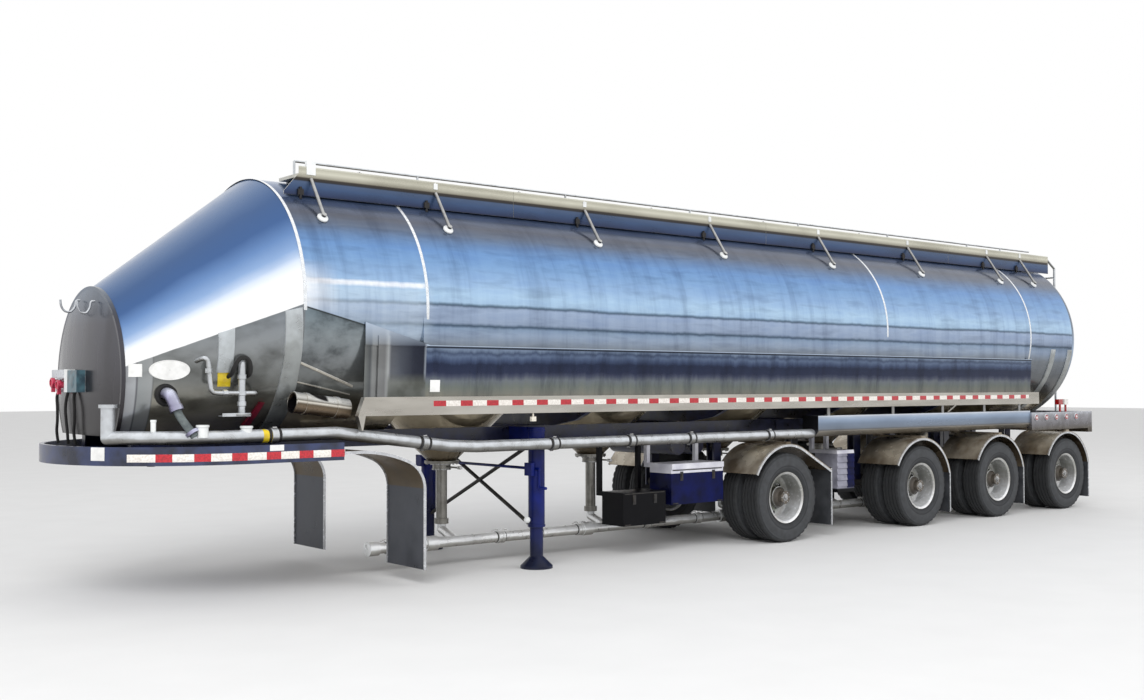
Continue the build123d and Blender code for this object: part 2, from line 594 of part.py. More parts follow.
# Side rails, each with a curved gusset plate at its front end
with BuildPart() as side_rails:
    for side_name, side in SIDES:
        block((RAIL_REAR_X, SKIRT_FRONT_X), (side * RAIL_INNER_Y, side * RAIL_OUTER_Y),
              (RAIL_BOTTOM_Z, RAIL_TOP_Z))
        side_prism(side, (RAIL_INNER_Y, RAIL_OUTER_Y),
                   ((SKIRT_FRONT_X, RAIL_TOP_Z), (SKIRT_FRONT_X + GUSSET_SHEET, RAIL_TOP_Z),
                    (SKIRT_FRONT_X + GUSSET_REACH, RAIL_BOTTOM_Z),
                    (SKIRT_FRONT_X + GUSSET_REACH / 2, RAIL_BOTTOM_Z - GUSSET_DROP),
                    (SKIRT_FRONT_X + GUSSET_REACH / 2 - GUSSET_SHEET, RAIL_BOTTOM_Z - GUSSET_DROP),
                    (SKIRT_FRONT_X, RAIL_BOTTOM_Z)))
side_rails.part.label = "side_rails"
export_step(side_rails.part, "parts/side_rails.step")

# Chassis frame: two beams under the belly
with BuildPart() as chassis_frame:
    for side_name, side in SIDES:
        block((BEAM_REAR_X, BEAM_FRONT_X), (side * BEAM_INNER_Y, side * BEAM_OUTER_Y),
              (BEAM_BOTTOM_Z, BELLY_Z))
chassis_frame.part.label = "chassis_frame"
export_step(chassis_frame.part, "parts/chassis_frame.step")

# Crossmembers between the bays, from rail to rail over the beams
crossings = [BAY_FRONT_X - i * HOPPER_PITCH for i in range(HOPPER_COUNT + 1)]
notch_y = TRAY_INNER_Y - TRAY_CLEARANCE
notch_z = TRAY_TOP_Z + TRAY_CLEARANCE
with BuildPart() as crossmembers:
    for x in crossings[1:-1]:
        prism(Plane.YZ.offset(x - CROSS_WIDTH / 2),
              ((-RAIL_INNER_Y, CROSS_TOP_Z), (-RAIL_INNER_Y, RAIL_BOTTOM_Z), (-notch_y, notch_z),
               (-BEAM_OUTER_Y, BELLY_Z), (BEAM_OUTER_Y, BELLY_Z), (notch_y, notch_z),
               (RAIL_INNER_Y, RAIL_BOTTOM_Z), (RAIL_INNER_Y, CROSS_TOP_Z)), CROSS_WIDTH)
crossmembers.part.label = "crossmembers"
export_step(crossmembers.part, "parts/crossmembers.step")

# Upper coupler: a plate with a rim round its front and sides, and a hole for the kingpin's shank
with BuildPart() as upper_coupler:
    for half_width, bottom_z, top_z, mode in (
            (COUPLER_HALF_WIDTH, COUPLER_BOTTOM_Z, COUPLER_RIM_TOP_Z, Mode.ADD),
            (COUPLER_HALF_WIDTH - COUPLER_RIM, BEAM_BOTTOM_Z, COUPLER_RIM_TOP_Z, Mode.SUBTRACT)):
        with BuildSketch(Plane.XY.offset(bottom_z)) as plate:
            with BuildLine():
                front = CenterArc((COUPLER_CENTRE_X, 0), half_width, -90, 180)
                Polyline(front @ 1, (COUPLER_REAR_X, half_width), (COUPLER_REAR_X, -half_width), front @ 0)
            make_face()
        extrude(plate.sketch, amount=top_z - bottom_z, mode=mode)
    with BuildSketch(Plane.XY.offset(COUPLER_BOTTOM_Z)) as shank_hole:
        with Locations((KINGPIN_X, 0)):
            Circle(KINGPIN_SHANK_RADIUS + FIT_GAP)
    extrude(shank_hole.sketch, amount=BEAM_BOTTOM_Z - COUPLER_BOTTOM_Z, mode=Mode.SUBTRACT)
upper_coupler.part.label = "upper_coupler"
export_step(upper_coupler.part, "parts/upper_coupler.step")

# Kingpin: a head on the coupler plate, a shank through it, and the neck and collar below
neck_bottom_z = COUPLER_BOTTOM_Z - KINGPIN_NECK_LENGTH
with BuildPart() as kingpin:
    upright(KINGPIN_X, 0, (BEAM_BOTTOM_Z, BEAM_BOTTOM_Z + KINGPIN_HEAD_HEIGHT), KINGPIN_HEAD_RADIUS)
    upright(KINGPIN_X, 0, (COUPLER_BOTTOM_Z, BEAM_BOTTOM_Z), KINGPIN_SHANK_RADIUS)
    upright(KINGPIN_X, 0, (neck_bottom_z, COUPLER_BOTTOM_Z), KINGPIN_NECK_RADIUS)
    upright(KINGPIN_X, 0, (neck_bottom_z - KINGPIN_COLLAR_LENGTH, neck_bottom_z), KINGPIN_COLLAR_RADIUS)
kingpin.part.label = "kingpin"
export_step(kingpin.part, "parts/kingpin.step")

# Wheels: on each end of each axle a pair of tyres, and a pair of rims on one hub
TYRE_PROFILE = ((RIM_RADIUS + FIT_GAP, BEAD_HALF_WIDTH), (SIDEWALL_WIDEST, TYRE_HALF_WIDTH),
                (TYRE_RADIUS, TREAD_HALF_WIDTH))
for axle_name, axle_x in AXLES:
    spin = Axis((axle_x, 0, TYRE_RADIUS), (0, 1, 0))
    wheel_plane = Plane(origin=(axle_x, 0, TYRE_RADIUS), x_dir=(0, 1, 0), z_dir=(1, 0, 0))
    for side_name, side in SIDES:
        with BuildPart() as tyres:
            for centre_y in (side * OUTER_WHEEL_Y, side * INNER_WHEEL_Y):
                turned(wheel_plane, [(centre_y + half, r) for r, half in TYRE_PROFILE]
                       + [(centre_y - half, r) for r, half in reversed(TYRE_PROFILE)], spin)
        tyres.part.label = f"tyres_{axle_name}_{side_name}"
        export_step(tyres.part, f"parts/tyres_{axle_name}_{side_name}.step")

        outer_edge = OUTER_WHEEL_Y + BEAD_HALF_WIDTH
        inner_edge = INNER_WHEEL_Y - BEAD_HALF_WIDTH
        bore = SPINDLE_RADIUS + RUNNING_GAP
        rim_profile = (
            (bore, HUB_OUTER_Y), (HUB_CAP_RADIUS, HUB_OUTER_Y), (HUB_RADIUS, HUB_OUTER_Y - HUB_CHAMFER),
            (HUB_RADIUS, DISC_Y + DISC_THICKNESS), (DISC_EDGE_RADIUS, DISC_Y + DISC_THICKNESS),
            (RIM_RADIUS - RIM_WALL, DISC_Y + DISH_DEPTH), (RIM_RADIUS - RIM_WALL, outer_edge),
            (FLANGE_RADIUS, outer_edge + FLANGE_WIDTH), (FLANGE_RADIUS, outer_edge + FLANGE_WIDTH / 2),
            (RIM_RADIUS, outer_edge + FIT_GAP), (RIM_RADIUS, inner_edge - FIT_GAP),
            (FLANGE_RADIUS, inner_edge - FLANGE_WIDTH / 2), (FLANGE_RADIUS, inner_edge - FLANGE_WIDTH),
            (RIM_RADIUS - RIM_WALL, inner_edge), (RIM_RADIUS - RIM_WALL, DISC_Y - DISH_DEPTH),
            (DISC_EDGE_RADIUS, DISC_Y - DISC_THICKNESS), (DRUM_RADIUS, DISC_Y - DISC_THICKNESS),
            (DRUM_RADIUS, DRUM_INNER_Y), (bore, DRUM_INNER_Y))
        with BuildPart() as rims:
            turned(wheel_plane, [(side * y, r) for r, y in rim_profile], spin)
            rod((axle_x, side * HUB_OUTER_Y, TYRE_RADIUS),
                (axle_x, side * (HUB_OUTER_Y + HUB_CAP_LENGTH), TYRE_RADIUS), HUB_CAP_RADIUS)
        rims.part.label = f"rims_{axle_name}_{side_name}"
        export_step(rims.part, f"parts/rims_{axle_name}_{side_name}.step")

# Axles: a tube between the brake drums with a spindle through each hub
with BuildPart() as axles:
    for axle_name, axle_x in AXLES:
        rod((axle_x, -AXLE_TUBE_END_Y, TYRE_RADIUS), (axle_x, AXLE_TUBE_END_Y, TYRE_RADIUS), AXLE_TUBE_RADIUS)
        spindle_end = HUB_OUTER_Y - RUNNING_GAP
        rod((axle_x, -spindle_end, TYRE_RADIUS), (axle_x, spindle_end, TYRE_RADIUS), SPINDLE_RADIUS)
axles.part.label = "axles"
export_step(axles.part, "parts/axles.step")

# Suspension: a forked hanger and a spring tower under each beam at every axle
arm_bottom_z = TYRE_RADIUS + AXLE_TUBE_RADIUS + FIT_GAP
arm_top_z = arm_bottom_z + ARM_HEIGHT
spring_top_z = arm_top_z + SPRING_HEIGHT
cheek_inner = ARM_INNER_Y - ARM_GAP
cheek_outer = ARM_INNER_Y + ARM_WIDTH + ARM_GAP
spring_y = ARM_INNER_Y + ARM_WIDTH / 2
with BuildPart() as suspension:
    for axle_name, axle_x in AXLES:
        pivot_x = axle_x + HANGER_AHEAD
        hanger_x = (pivot_x - HANGER_LENGTH / 2, pivot_x + HANGER_LENGTH / 2)
        tower_x = (axle_x - SPRING_BEHIND - TOWER_HALF, axle_x - SPRING_BEHIND + TOWER_HALF)
        for side_name, side in SIDES:
            for near_y, far_y in ((cheek_inner - CHEEK, cheek_inner), (cheek_outer, cheek_outer + CHEEK)):
                block(hanger_x, (side * near_y, side * far_y), (PIVOT_Z - PIVOT_RADIUS, BEAM_BOTTOM_Z))
            block(hanger_x, (side * (cheek_inner - CHEEK), side * (cheek_outer + CHEEK)),
                  (BEAM_BOTTOM_Z - CHEEK, BEAM_BOTTOM_Z))
            block(tower_x, (side * (spring_y - TOWER_HALF), side * (spring_y + TOWER_HALF)),
                  (spring_top_z, BEAM_BOTTOM_Z))
suspension.part.label = "suspension"
export_step(suspension.part, "parts/suspension.step")

# Trailing arms: from the pivot in the hanger, over the axle, to the seat of the air spring
with BuildPart() as trailing_arms:
    for axle_name, axle_x in AXLES:
        pivot_x = axle_x + HANGER_AHEAD
        for side_name, side in SIDES:
            side_prism(side, (ARM_INNER_Y, ARM_INNER_Y + ARM_WIDTH),
                       ((axle_x - ARM_REAR, arm_bottom_z + CHEEK), (axle_x - ARM_REAR, arm_top_z),
                        (axle_x + AXLE_TUBE_RADIUS, arm_top_z), (pivot_x, PIVOT_Z + PIVOT_RADIUS - CHEEK),
                        (pivot_x, PIVOT_Z - PIVOT_RADIUS + CHEEK),
                        (axle_x + 2 * AXLE_TUBE_RADIUS, arm_bottom_z),
                        (axle_x - 2 * AXLE_TUBE_RADIUS, arm_bottom_z)))
            rod((pivot_x, side * ARM_INNER_Y, PIVOT_Z), (pivot_x, side * (ARM_INNER_Y + ARM_WIDTH), PIVOT_Z),
                PIVOT_RADIUS)
trailing_arms.part.label = "trailing_arms"
export_step(trailing_arms.part, "parts/trailing_arms.step")

# Air springs: two rolls and a waist between the arm and the spring tower
spring_profile = [(0, 0), (SPRING_WAIST, 0), (SPRING_RADIUS, 0.12), (SPRING_RADIUS, 0.38),
                  (SPRING_WAIST, 0.5), (SPRING_RADIUS, 0.62), (SPRING_RADIUS, 0.88), (SPRING_WAIST, 1),
                  (0, 1)]
with BuildPart() as air_springs:
    for axle_name, axle_x in AXLES:
        for side_name, side in SIDES:
            upright_profile(axle_x - SPRING_BEHIND, side * spring_y,
                            [(r, arm_top_z + share * SPRING_HEIGHT) for r, share in spring_profile])
air_springs.part.label = "air_springs"
export_step(air_springs.part, "parts/air_springs.step")

# Wheel fenders: an arched sheet over each pair of wheels, held by an arm from the beam
sheet_outer = FENDER_RADIUS + FENDER_SHEET
fender_ends = []
with BuildPart() as wheel_fenders:
    for axle_name, axle_x in AXLES:
        is_lift = axle_name == "lift"
        rear_angle = LIFT_FENDER_ANGLE if is_lift else FENDER_REAR_ANGLE
        tail = LIFT_FENDER_TAIL if is_lift else 0
        turn = math.radians(rear_angle)
        tail_x = -math.sin(turn) * tail
        tail_z = math.cos(turn) * tail
        fender_ends.append((axle_x + sheet_outer * math.cos(turn) + tail_x,
                            TYRE_RADIUS + sheet_outer * math.sin(turn) + tail_z))
        for side_name, side in SIDES:
            with BuildSketch(Plane.XZ.offset(-side * FENDER_INNER_Y)) as arch:
                with BuildLine():
                    sweep_angle = rear_angle - FENDER_FRONT_ANGLE
                    inside = CenterArc((axle_x, TYRE_RADIUS), FENDER_RADIUS, FENDER_FRONT_ANGLE, sweep_angle)
                    outside = CenterArc((axle_x, TYRE_RADIUS), sheet_outer, FENDER_FRONT_ANGLE, sweep_angle)
                    Line(inside @ 0, outside @ 0)
                    if tail:
                        run_on = Vector(tail_x, tail_z)
                        Polyline(inside @ 1, inside @ 1 + run_on, outside @ 1 + run_on, outside @ 1)
                    else:
                        Line(inside @ 1, outside @ 1)
                make_face()
            extrude(arch.sketch, amount=-side * (FENDER_OUTER_Y - FENDER_INNER_Y))
            arm_z = TYRE_RADIUS + FENDER_RADIUS + FENDER_SHEET / 2
            arm_x = (axle_x - FENDER_ARM_HALF, axle_x + FENDER_ARM_HALF)
            block(arm_x, (side * BEAM_OUTER_Y, side * FENDER_OUTER_Y), (arm_z, arm_z + FENDER_ARM))
            block(arm_x, (side * BEAM_INNER_Y, side * BEAM_OUTER_Y), (arm_z, BEAM_BOTTOM_Z))
wheel_fenders.part.label = "wheel_fenders"
export_step(wheel_fenders.part, "parts/wheel_fenders.step")

# Mud flaps hanging from the rear edges of the fenders
with BuildPart() as mud_flaps:
    for end_x, end_z in fender_ends:
        for side_name, side in SIDES:
            block((end_x - FLAP_SHEET, end_x),
                  (side * (FENDER_INNER_Y + FLAP_INSET), side * (FENDER_OUTER_Y - FLAP_INSET)),
                  (FLAP_BOTTOM_Z, end_z + FLAP_OVERLAP))
mud_flaps.part.label = "mud_flaps"
export_step(mud_flaps.part, "parts/mud_flaps.step")

# Quarter fenders: two arcs that turn from level to plumb, with a brace from side to side
arcs_x = COUPLER_REAR_X - QUARTER_LEAD - QUARTER_REAR_X - QUARTER_KNEE_RADIUS
arcs_z = QUARTER_TOP_Z - QUARTER_KNEE_Z - QUARTER_KNEE_RADIUS
first_turn = 2 * math.degrees(math.atan(arcs_z / arcs_x))
centre_step = arcs_x / math.sin(math.radians(first_turn))
first_radius = QUARTER_KNEE_RADIUS + centre_step
first_centre = (COUPLER_REAR_X - QUARTER_LEAD, QUARTER_TOP_Z - first_radius)
knee_centre = (QUARTER_REAR_X + QUARTER_KNEE_RADIUS, QUARTER_KNEE_Z)
with BuildPart() as quarter_fenders:
    for side_name, side in SIDES:
        with BuildSketch(Plane.XZ.offset(-side * QUARTER_INNER_Y)) as shield:
            with BuildLine():
                over = CenterArc(first_centre, first_radius, 90, first_turn)
                knee = CenterArc(knee_centre, QUARTER_KNEE_RADIUS, 90 + first_turn, 90 - first_turn)
                under = CenterArc(first_centre, first_radius - QUARTER_SHEET, 90, first_turn)
                inner_knee = CenterArc(knee_centre, QUARTER_KNEE_RADIUS - QUARTER_SHEET, 90 + first_turn,
                                       90 - first_turn)
                Polyline(over @ 0, (COUPLER_REAR_X, QUARTER_TOP_Z),
                         (COUPLER_REAR_X, QUARTER_TOP_Z - QUARTER_SHEET), under @ 0)
                Polyline(knee @ 1, (QUARTER_REAR_X, QUARTER_BOTTOM_Z),
                         (QUARTER_REAR_X + QUARTER_SHEET, QUARTER_BOTTOM_Z), inner_knee @ 1)
            make_face()
        extrude(shield.sketch, amount=-side * (QUARTER_OUTER_Y - QUARTER_INNER_Y))
quarter_fenders.part.label = "quarter_fenders"
export_step(quarter_fenders.part, "parts/quarter_fenders.step")

# Landing legs: round columns on wide shoes, joined by a cross shaft with a crank on its left end
with BuildPart() as landing_legs:
    for side_name, side in SIDES:
        upright(LEG_X, side * LEG_Y, (LEG_TUBE_BOTTOM_Z, BELLY_Z), LEG_RADIUS)
        upright(LEG_X, side * LEG_Y, (SHOE_HEIGHT, LEG_TUBE_BOTTOM_Z), LEG_INNER_RADIUS)
        upright_profile(LEG_X, side * LEG_Y, [(0, 0), (SHOE_RADIUS, 0), (SHOE_RADIUS, SHOE_HEIGHT),
                                              (LEG_INNER_RADIUS, SHOE_CONE_HEIGHT), (0, SHOE_CONE_HEIGHT)])
        block((LEG_X - LEG_BRACKET_HALF, LEG_X + LEG_BRACKET_HALF), (side * BEAM_OUTER_Y, side * LEG_Y),
              (BEAM_BOTTOM_Z, BELLY_Z))
    shaft_x = LEG_X + CROSS_SHAFT_AHEAD
    crank_y = LEG_Y + CRANK_GRIP
    tube(((shaft_x, -LEG_Y, CROSS_SHAFT_Z), (shaft_x, crank_y, CROSS_SHAFT_Z),
          (shaft_x, crank_y, CROSS_SHAFT_Z - CRANK_THROW),
          (shaft_x, crank_y + CRANK_GRIP, CROSS_SHAFT_Z - CRANK_THROW)),
         CROSS_SHAFT_RADIUS)
landing_legs.part.label = "landing_legs"
export_step(landing_legs.part, "parts/landing_legs.step")

# Leg braces: two bars that cross between the legs
with BuildPart() as leg_braces:
    for side_name, side in SIDES:
        rod((LEG_X, side * LEG_Y, BRACE_LOW_Z), (LEG_X, -side * LEG_Y, BRACE_HIGH_Z), BRACE_RADIUS)
    add(landing_legs.part, mode=Mode.SUBTRACT)
leg_braces.part.label = "leg_braces"
export_step(leg_braces.part, "parts/leg_braces.step")

# Manhole collars on the roof, each with two hinge ears
hinge_y = -LID_RADIUS - HINGE_OUT
hinge_z = COLLAR_TOP_Z + LID_GAP + LID_THICKNESS / 2
ear_y = (hinge_y - EAR_HALF, hinge_y + EAR_HALF)
well_height = 2 * (COLLAR_TOP_Z - barrel_z(MANHOLE_RADIUS))
with BuildPart() as manhole_collars:
    for x in MANHOLES:
        upright(x, 0, (barrel_z(MANHOLE_RADIUS) - SIDE_WALL, COLLAR_TOP_Z), MANHOLE_RADIUS)
    add(tank_barrel.part, mode=Mode.SUBTRACT)
    with Locations(*[(x, 0, COLLAR_TOP_Z) for x in MANHOLES]):
        Cylinder(MANHOLE_RADIUS - COLLAR_WALL, well_height, mode=Mode.SUBTRACT)
    for x in MANHOLES:
        for end in (-1, 1):
            ear_x = (x + end * HINGE_LENGTH - EAR_THICKNESS / 2, x + end * HINGE_LENGTH + EAR_THICKNESS / 2)
            block(ear_x, (ear_y[0], -MANHOLE_RADIUS + EAR_DEPTH), (COLLAR_TOP_Z - EAR_DEPTH, COLLAR_TOP_Z))
            block(ear_x, ear_y, (COLLAR_TOP_Z - EAR_DEPTH, hinge_z + EAR_HALF))
        rod((x - HINGE_LENGTH, hinge_y, hinge_z), (x + HINGE_LENGTH, hinge_y, hinge_z), HINGE_PIN_RADIUS)
manhole_collars.part.label = "manhole_collars"
export_step(manhole_collars.part, "parts/manhole_collars.step")

# Manhole lids: shallow domed discs with a hinge knuckle round the pin
for number, x in enumerate(MANHOLES, start=1):
    lid_bottom_z = COLLAR_TOP_Z + LID_GAP
    lid_top_z = lid_bottom_z + LID_THICKNESS
    with BuildPart() as lid:
        upright_profile(x, 0, [(0, lid_bottom_z), (LID_RADIUS, lid_bottom_z), (LID_RADIUS, lid_top_z),
                               (LID_RADIUS * LID_CROWN, lid_top_z + LID_DOME), (0, lid_top_z + LID_DOME)])
        rod((x - HINGE_LENGTH / 2, hinge_y, hinge_z), (x + HINGE_LENGTH / 2, hinge_y, hinge_z),
            HINGE_PIN_RADIUS + KNUCKLE_WALL)
        block((x - HINGE_LENGTH / 2, x + HINGE_LENGTH / 2), (hinge_y, hinge_y + 2 * HINGE_OUT),
              (hinge_z - LID_THICKNESS / 3, hinge_z + LID_THICKNESS / 3))
        with BuildSketch(Plane(origin=(x - HINGE_LENGTH, hinge_y, hinge_z), z_dir=(1, 0, 0))) as pin_hole:
            Circle(HINGE_PIN_RADIUS + RUNNING_GAP)
        extrude(pin_hole.sketch, amount=2 * HINGE_LENGTH, mode=Mode.SUBTRACT)
    lid.part.label = f"manhole_lid_{number}"
    export_step(lid.part, f"parts/manhole_lid_{number}.step")

# Roof vents: capped necks on the top of the barrel
neck_z = BARREL_TOP_Z + FIT_GAP
with BuildPart() as roof_vents:
    for x in VENT_XS:
        upright_profile(x, 0, [(0, neck_z), (VENT_RADIUS, neck_z), (VENT_RADIUS, neck_z + VENT_HEIGHT),
                               (VENT_CAP_RADIUS, neck_z + VENT_HEIGHT),
                               (VENT_RADIUS, neck_z + VENT_HEIGHT + VENT_CAP_HEIGHT),
                               (0, neck_z + VENT_HEIGHT + VENT_CAP_HEIGHT)])
roof_vents.part.label = "roof_vents"
export_step(roof_vents.part, "parts/roof_vents.step")

# Walkway: a deck with a fascia and a toe board on its outer edge, in lengths on two brackets each
walk_bottom_z = barrel_z(WALK_INNER_Y) + WALK_CLEARANCE
walk_top_z = walk_bottom_z + WALK_SHEET
fascia_y = WALK_OUTER_Y - FASCIA_SHEET
fascia_bottom_z = barrel_z(fascia_y) + FASCIA_CLEARANCE
walk_cuts = (WALK_REAR_X - WALK_JOINT_GAP / 2, *WALK_JOINTS, WALK_FRONT_X + WALK_JOINT_GAP / 2)
walk_lengths = [(rear + WALK_JOINT_GAP / 2, front - WALK_JOINT_GAP / 2)
                for rear, front in zip(walk_cuts, walk_cuts[1:])]
with BuildPart() as walkway:
    for rear_x, front_x in walk_lengths:
        block((rear_x, front_x), (WALK_INNER_Y, WALK_OUTER_Y), (walk_bottom_z, walk_top_z))
        block((rear_x, front_x), (fascia_y, WALK_OUTER_Y), (fascia_bottom_z, walk_top_z + TOE_HEIGHT))
    side_prism(1, (fascia_y, WALK_OUTER_Y),
               ((WALK_FRONT_X, fascia_bottom_z), (WALK_FRONT_X, walk_top_z),
                (WALK_FRONT_X + FASCIA_SLOPE, fascia_bottom_z + WALK_SHEET),
                (WALK_FRONT_X + FASCIA_SLOPE, fascia_bottom_z)))
walkway.part.label = "walkway"
export_step(walkway.part, "parts/walkway.step")

# Walkway brackets: struts that stand on round pads, and clips under the inner edge
pad_z = barrel_z(PAD_Y)
out_y = PAD_Y / BARREL_RADIUS
out_z = (pad_z - BARREL_AXIS_Z) / BARREL_RADIUS
with BuildPart() as walkway_brackets:
    for x in WALK_BRACKETS:
        rod((x, PAD_Y + out_y * FIT_GAP, pad_z + out_z * FIT_GAP),
            (x, PAD_Y + out_y * PAD_THICKNESS, pad_z + out_z * PAD_THICKNESS), PAD_RADIUS)
        rod((x, PAD_Y + out_y * PAD_THICKNESS, pad_z + out_z * PAD_THICKNESS),
            (x, PAD_Y + out_y * STUD_HEIGHT, pad_z + out_z * STUD_HEIGHT), PAD_RADIUS / 2)
        rod((x, PAD_Y + out_y * (STUD_HEIGHT - STRUT_RADIUS), pad_z + out_z * (STUD_HEIGHT - STRUT_RADIUS)),
            (x, WALK_OUTER_Y + STRUT_RADIUS / 3, walk_bottom_z - STRUT_RADIUS), STRUT_RADIUS)
    add(walkway.part, mode=Mode.SUBTRACT)
    for x in WALK_BRACKETS:
        block((x - CLIP_WIDTH, x + CLIP_WIDTH), (WALK_INNER_Y, WALK_INNER_Y + CLIP_WIDTH),
              (barrel_z(WALK_INNER_Y) + FIT_GAP, walk_bottom_z))
walkway_brackets.part.label = "walkway_brackets"
export_step(walkway_brackets.part, "parts/walkway_brackets.step")

# Roof rail: a thin tube on posts above the deck
rail_z = walk_top_z + RAIL_HEIGHT
with BuildPart() as roof_rail:
    for rear_x, front_x in walk_lengths:
        end_x = min(front_x, WALK_BRACKETS[0])
        rod((rear_x, ROOF_RAIL_Y, rail_z), (end_x, ROOF_RAIL_Y, rail_z), RAIL_TUBE_RADIUS)
    for x in WALK_BRACKETS:
        upright(x, ROOF_RAIL_Y, (walk_top_z, rail_z), RAIL_TUBE_RADIUS)
roof_rail.part.label = "roof_rail"
export_step(roof_rail.part, "parts/roof_rail.step")

# Rear ladder: two stringers on the bumper that bend forward to the walkway, with rungs between
shoulder_z = walk_top_z - LADDER_SHOULDER
ladder_top_z = walk_top_z + LADDER_TUBE
first_rung_z = BUMPER_TOP_Z + RUNG_PITCH
rung_count = math.floor((shoulder_z - first_rung_z) / RUNG_PITCH) + 1
with BuildPart() as rear_ladder:
    for y in (WALK_INNER_Y + LADDER_TUBE, fascia_y - LADDER_TUBE - FIT_GAP):
        tube(((LADDER_X, y, BUMPER_TOP_Z), (LADDER_X, y, shoulder_z),
              (WALK_REAR_X - LADDER_TUBE, y, ladder_top_z), (WALK_REAR_X + RUNG_PITCH, y, ladder_top_z)),
             LADDER_TUBE)
    for i in range(rung_count):
        z = first_rung_z + i * RUNG_PITCH
        rod((LADDER_X, WALK_INNER_Y + LADDER_TUBE, z), (LADDER_X, fascia_y - LADDER_TUBE, z), RUNG_RADIUS)
rear_ladder.part.label = "rear_ladder"
export_step(rear_ladder.part, "parts/rear_ladder.step")

# Air pipe: a riser, a bend round the nose and straight runs, with clamps along it
with BuildPart() as air_pipe:
    tube(AIR_PIPE_ROUTE, AIR_PIPE_RADIUS)
    riser = AIR_PIPE_ROUTE[0]
    upright(riser[0], riser[1], (riser[2] - FLANGE_THICKNESS, riser[2]), AIR_PIPE_RADIUS + 2 * CLAMP_WALL)
    for x in CLAMP_XS:
        after = [point for point in AIR_PIPE_ROUTE if point[0] < x][0]
        before = [point for point in AIR_PIPE_ROUTE if point[0] >= x][-1]
        run = Vector(*after) - Vector(*before)
        middle = Vector(*before) + run * ((x - before[0]) / (after[0] - before[0]))
        half_clamp = run.normalized() * (CLAMP_WIDTH / 2)
        rod(tuple(middle - half_clamp), tuple(middle + half_clamp), AIR_PIPE_RADIUS + CLAMP_WALL)
air_pipe.part.label = "air_pipe"
export_step(air_pipe.part, "parts/air_pipe.step")

# Nose piping: an elbow out of the nose, a thin branch and a short stack with its flange
with BuildPart() as nose_piping:
    tube(NOSE_ELBOW, NOSE_ELBOW_RADIUS)
    tube(NOSE_BRANCH, NOSE_BRANCH_RADIUS)
    tube(NOSE_STACK, NOSE_STACK_RADIUS)
    upright(NOSE_STACK[1][0], NOSE_STACK[1][1], (NOSE_STACK[1][2] - CLAMP_WALL, NOSE_STACK[1][2]),
            2.5 * NOSE_STACK_RADIUS)
    add(tank_nose.part, mode=Mode.SUBTRACT)
nose_piping.part.label = "nose_piping"
export_step(nose_piping.part, "parts/nose_piping.step")

# Head fittings: a connection box with sockets and two lines down to the coupler, and two hose hooks
plate_x = NOSE_FRONT_X + HEAD_LIP_LENGTH + FRONT_HEAD_BULGE + FIT_GAP
box_front_x = plate_x + BOX_DEPTH
hook_x = NOSE_FRONT_X + HEAD_LIP_LENGTH + HOOK_OUT
socket_z = (BOX_Z[0] + BOX_Z[1]) / 2
with BuildPart() as head_fittings:
    for y in HOOK_YS:
        ring = [(hook_x, y + HOOK_RADIUS * math.cos(math.radians(turn)),
                 HOOK_Z + HOOK_RADIUS * math.sin(math.radians(turn))) for turn in range(180, 361, 45)]
        stems = [(NOSE_FRONT_X, y + side * HOOK_RADIUS, HOOK_Z) for side in (-1, 1)]
        tube((stems[0], *ring, stems[1]), HOOK_TUBE, HOOK_BALL)
    add(front_head.part, mode=Mode.SUBTRACT)
    block((plate_x, plate_x + BOX_PLATE), BOX_Y, BOX_Z)
    block((plate_x, box_front_x), (BOX_Y[1] - BOX_WIDTH, BOX_Y[1]), BOX_Z)
    for y in SOCKETS:
        rod((plate_x, y, socket_z), (box_front_x, y, socket_z), SOCKET_RADIUS)
    for y in LINE_YS:
        upright(plate_x + BOX_PLATE, y, (BEAM_BOTTOM_Z, BOX_Z[0] + LINE_RADIUS), LINE_RADIUS)
head_fittings.part.label = "head_fittings"
export_step(head_fittings.part, "parts/head_fittings.step")

# Hose trays: long closed boxes with a chamfered lower edge
with BuildPart() as hose_trays:
    for side_name, side in SIDES:
        prism(Plane.YZ.offset(TRAY_REAR_X),
              ((side * TRAY_INNER_Y, TRAY_BOTTOM_Z), (side * (TRAY_OUTER_Y - TRAY_CHAMFER), TRAY_BOTTOM_Z),
               (side * TRAY_OUTER_Y, TRAY_BOTTOM_Z + TRAY_CHAMFER), (side * TRAY_OUTER_Y, TRAY_TOP_Z),
               (side * TRAY_INNER_Y, TRAY_TOP_Z)), TRAY_FRONT_X - TRAY_REAR_X)
hose_trays.part.label = "hose_trays"
export_step(hose_trays.part, "parts/hose_trays.step")

# Tray hangers: flat straps from the side rails down to the trays
with BuildPart() as tray_hangers:
    for x in TRAY_HANGER_XS:
        for side_name, side in SIDES:
            strap_outer = TRAY_OUTER_Y - TRAY_CLEARANCE
            block((x - TRAY_HANGER_WIDTH / 2, x + TRAY_HANGER_WIDTH / 2),
                  (side * (strap_outer - TRAY_HANGER_SHEET), side * strap_outer), (TRAY_TOP_Z, RAIL_BOTTOM_Z))
tray_hangers.part.label = "tray_hangers"
export_step(tray_hangers.part, "parts/tray_hangers.step")

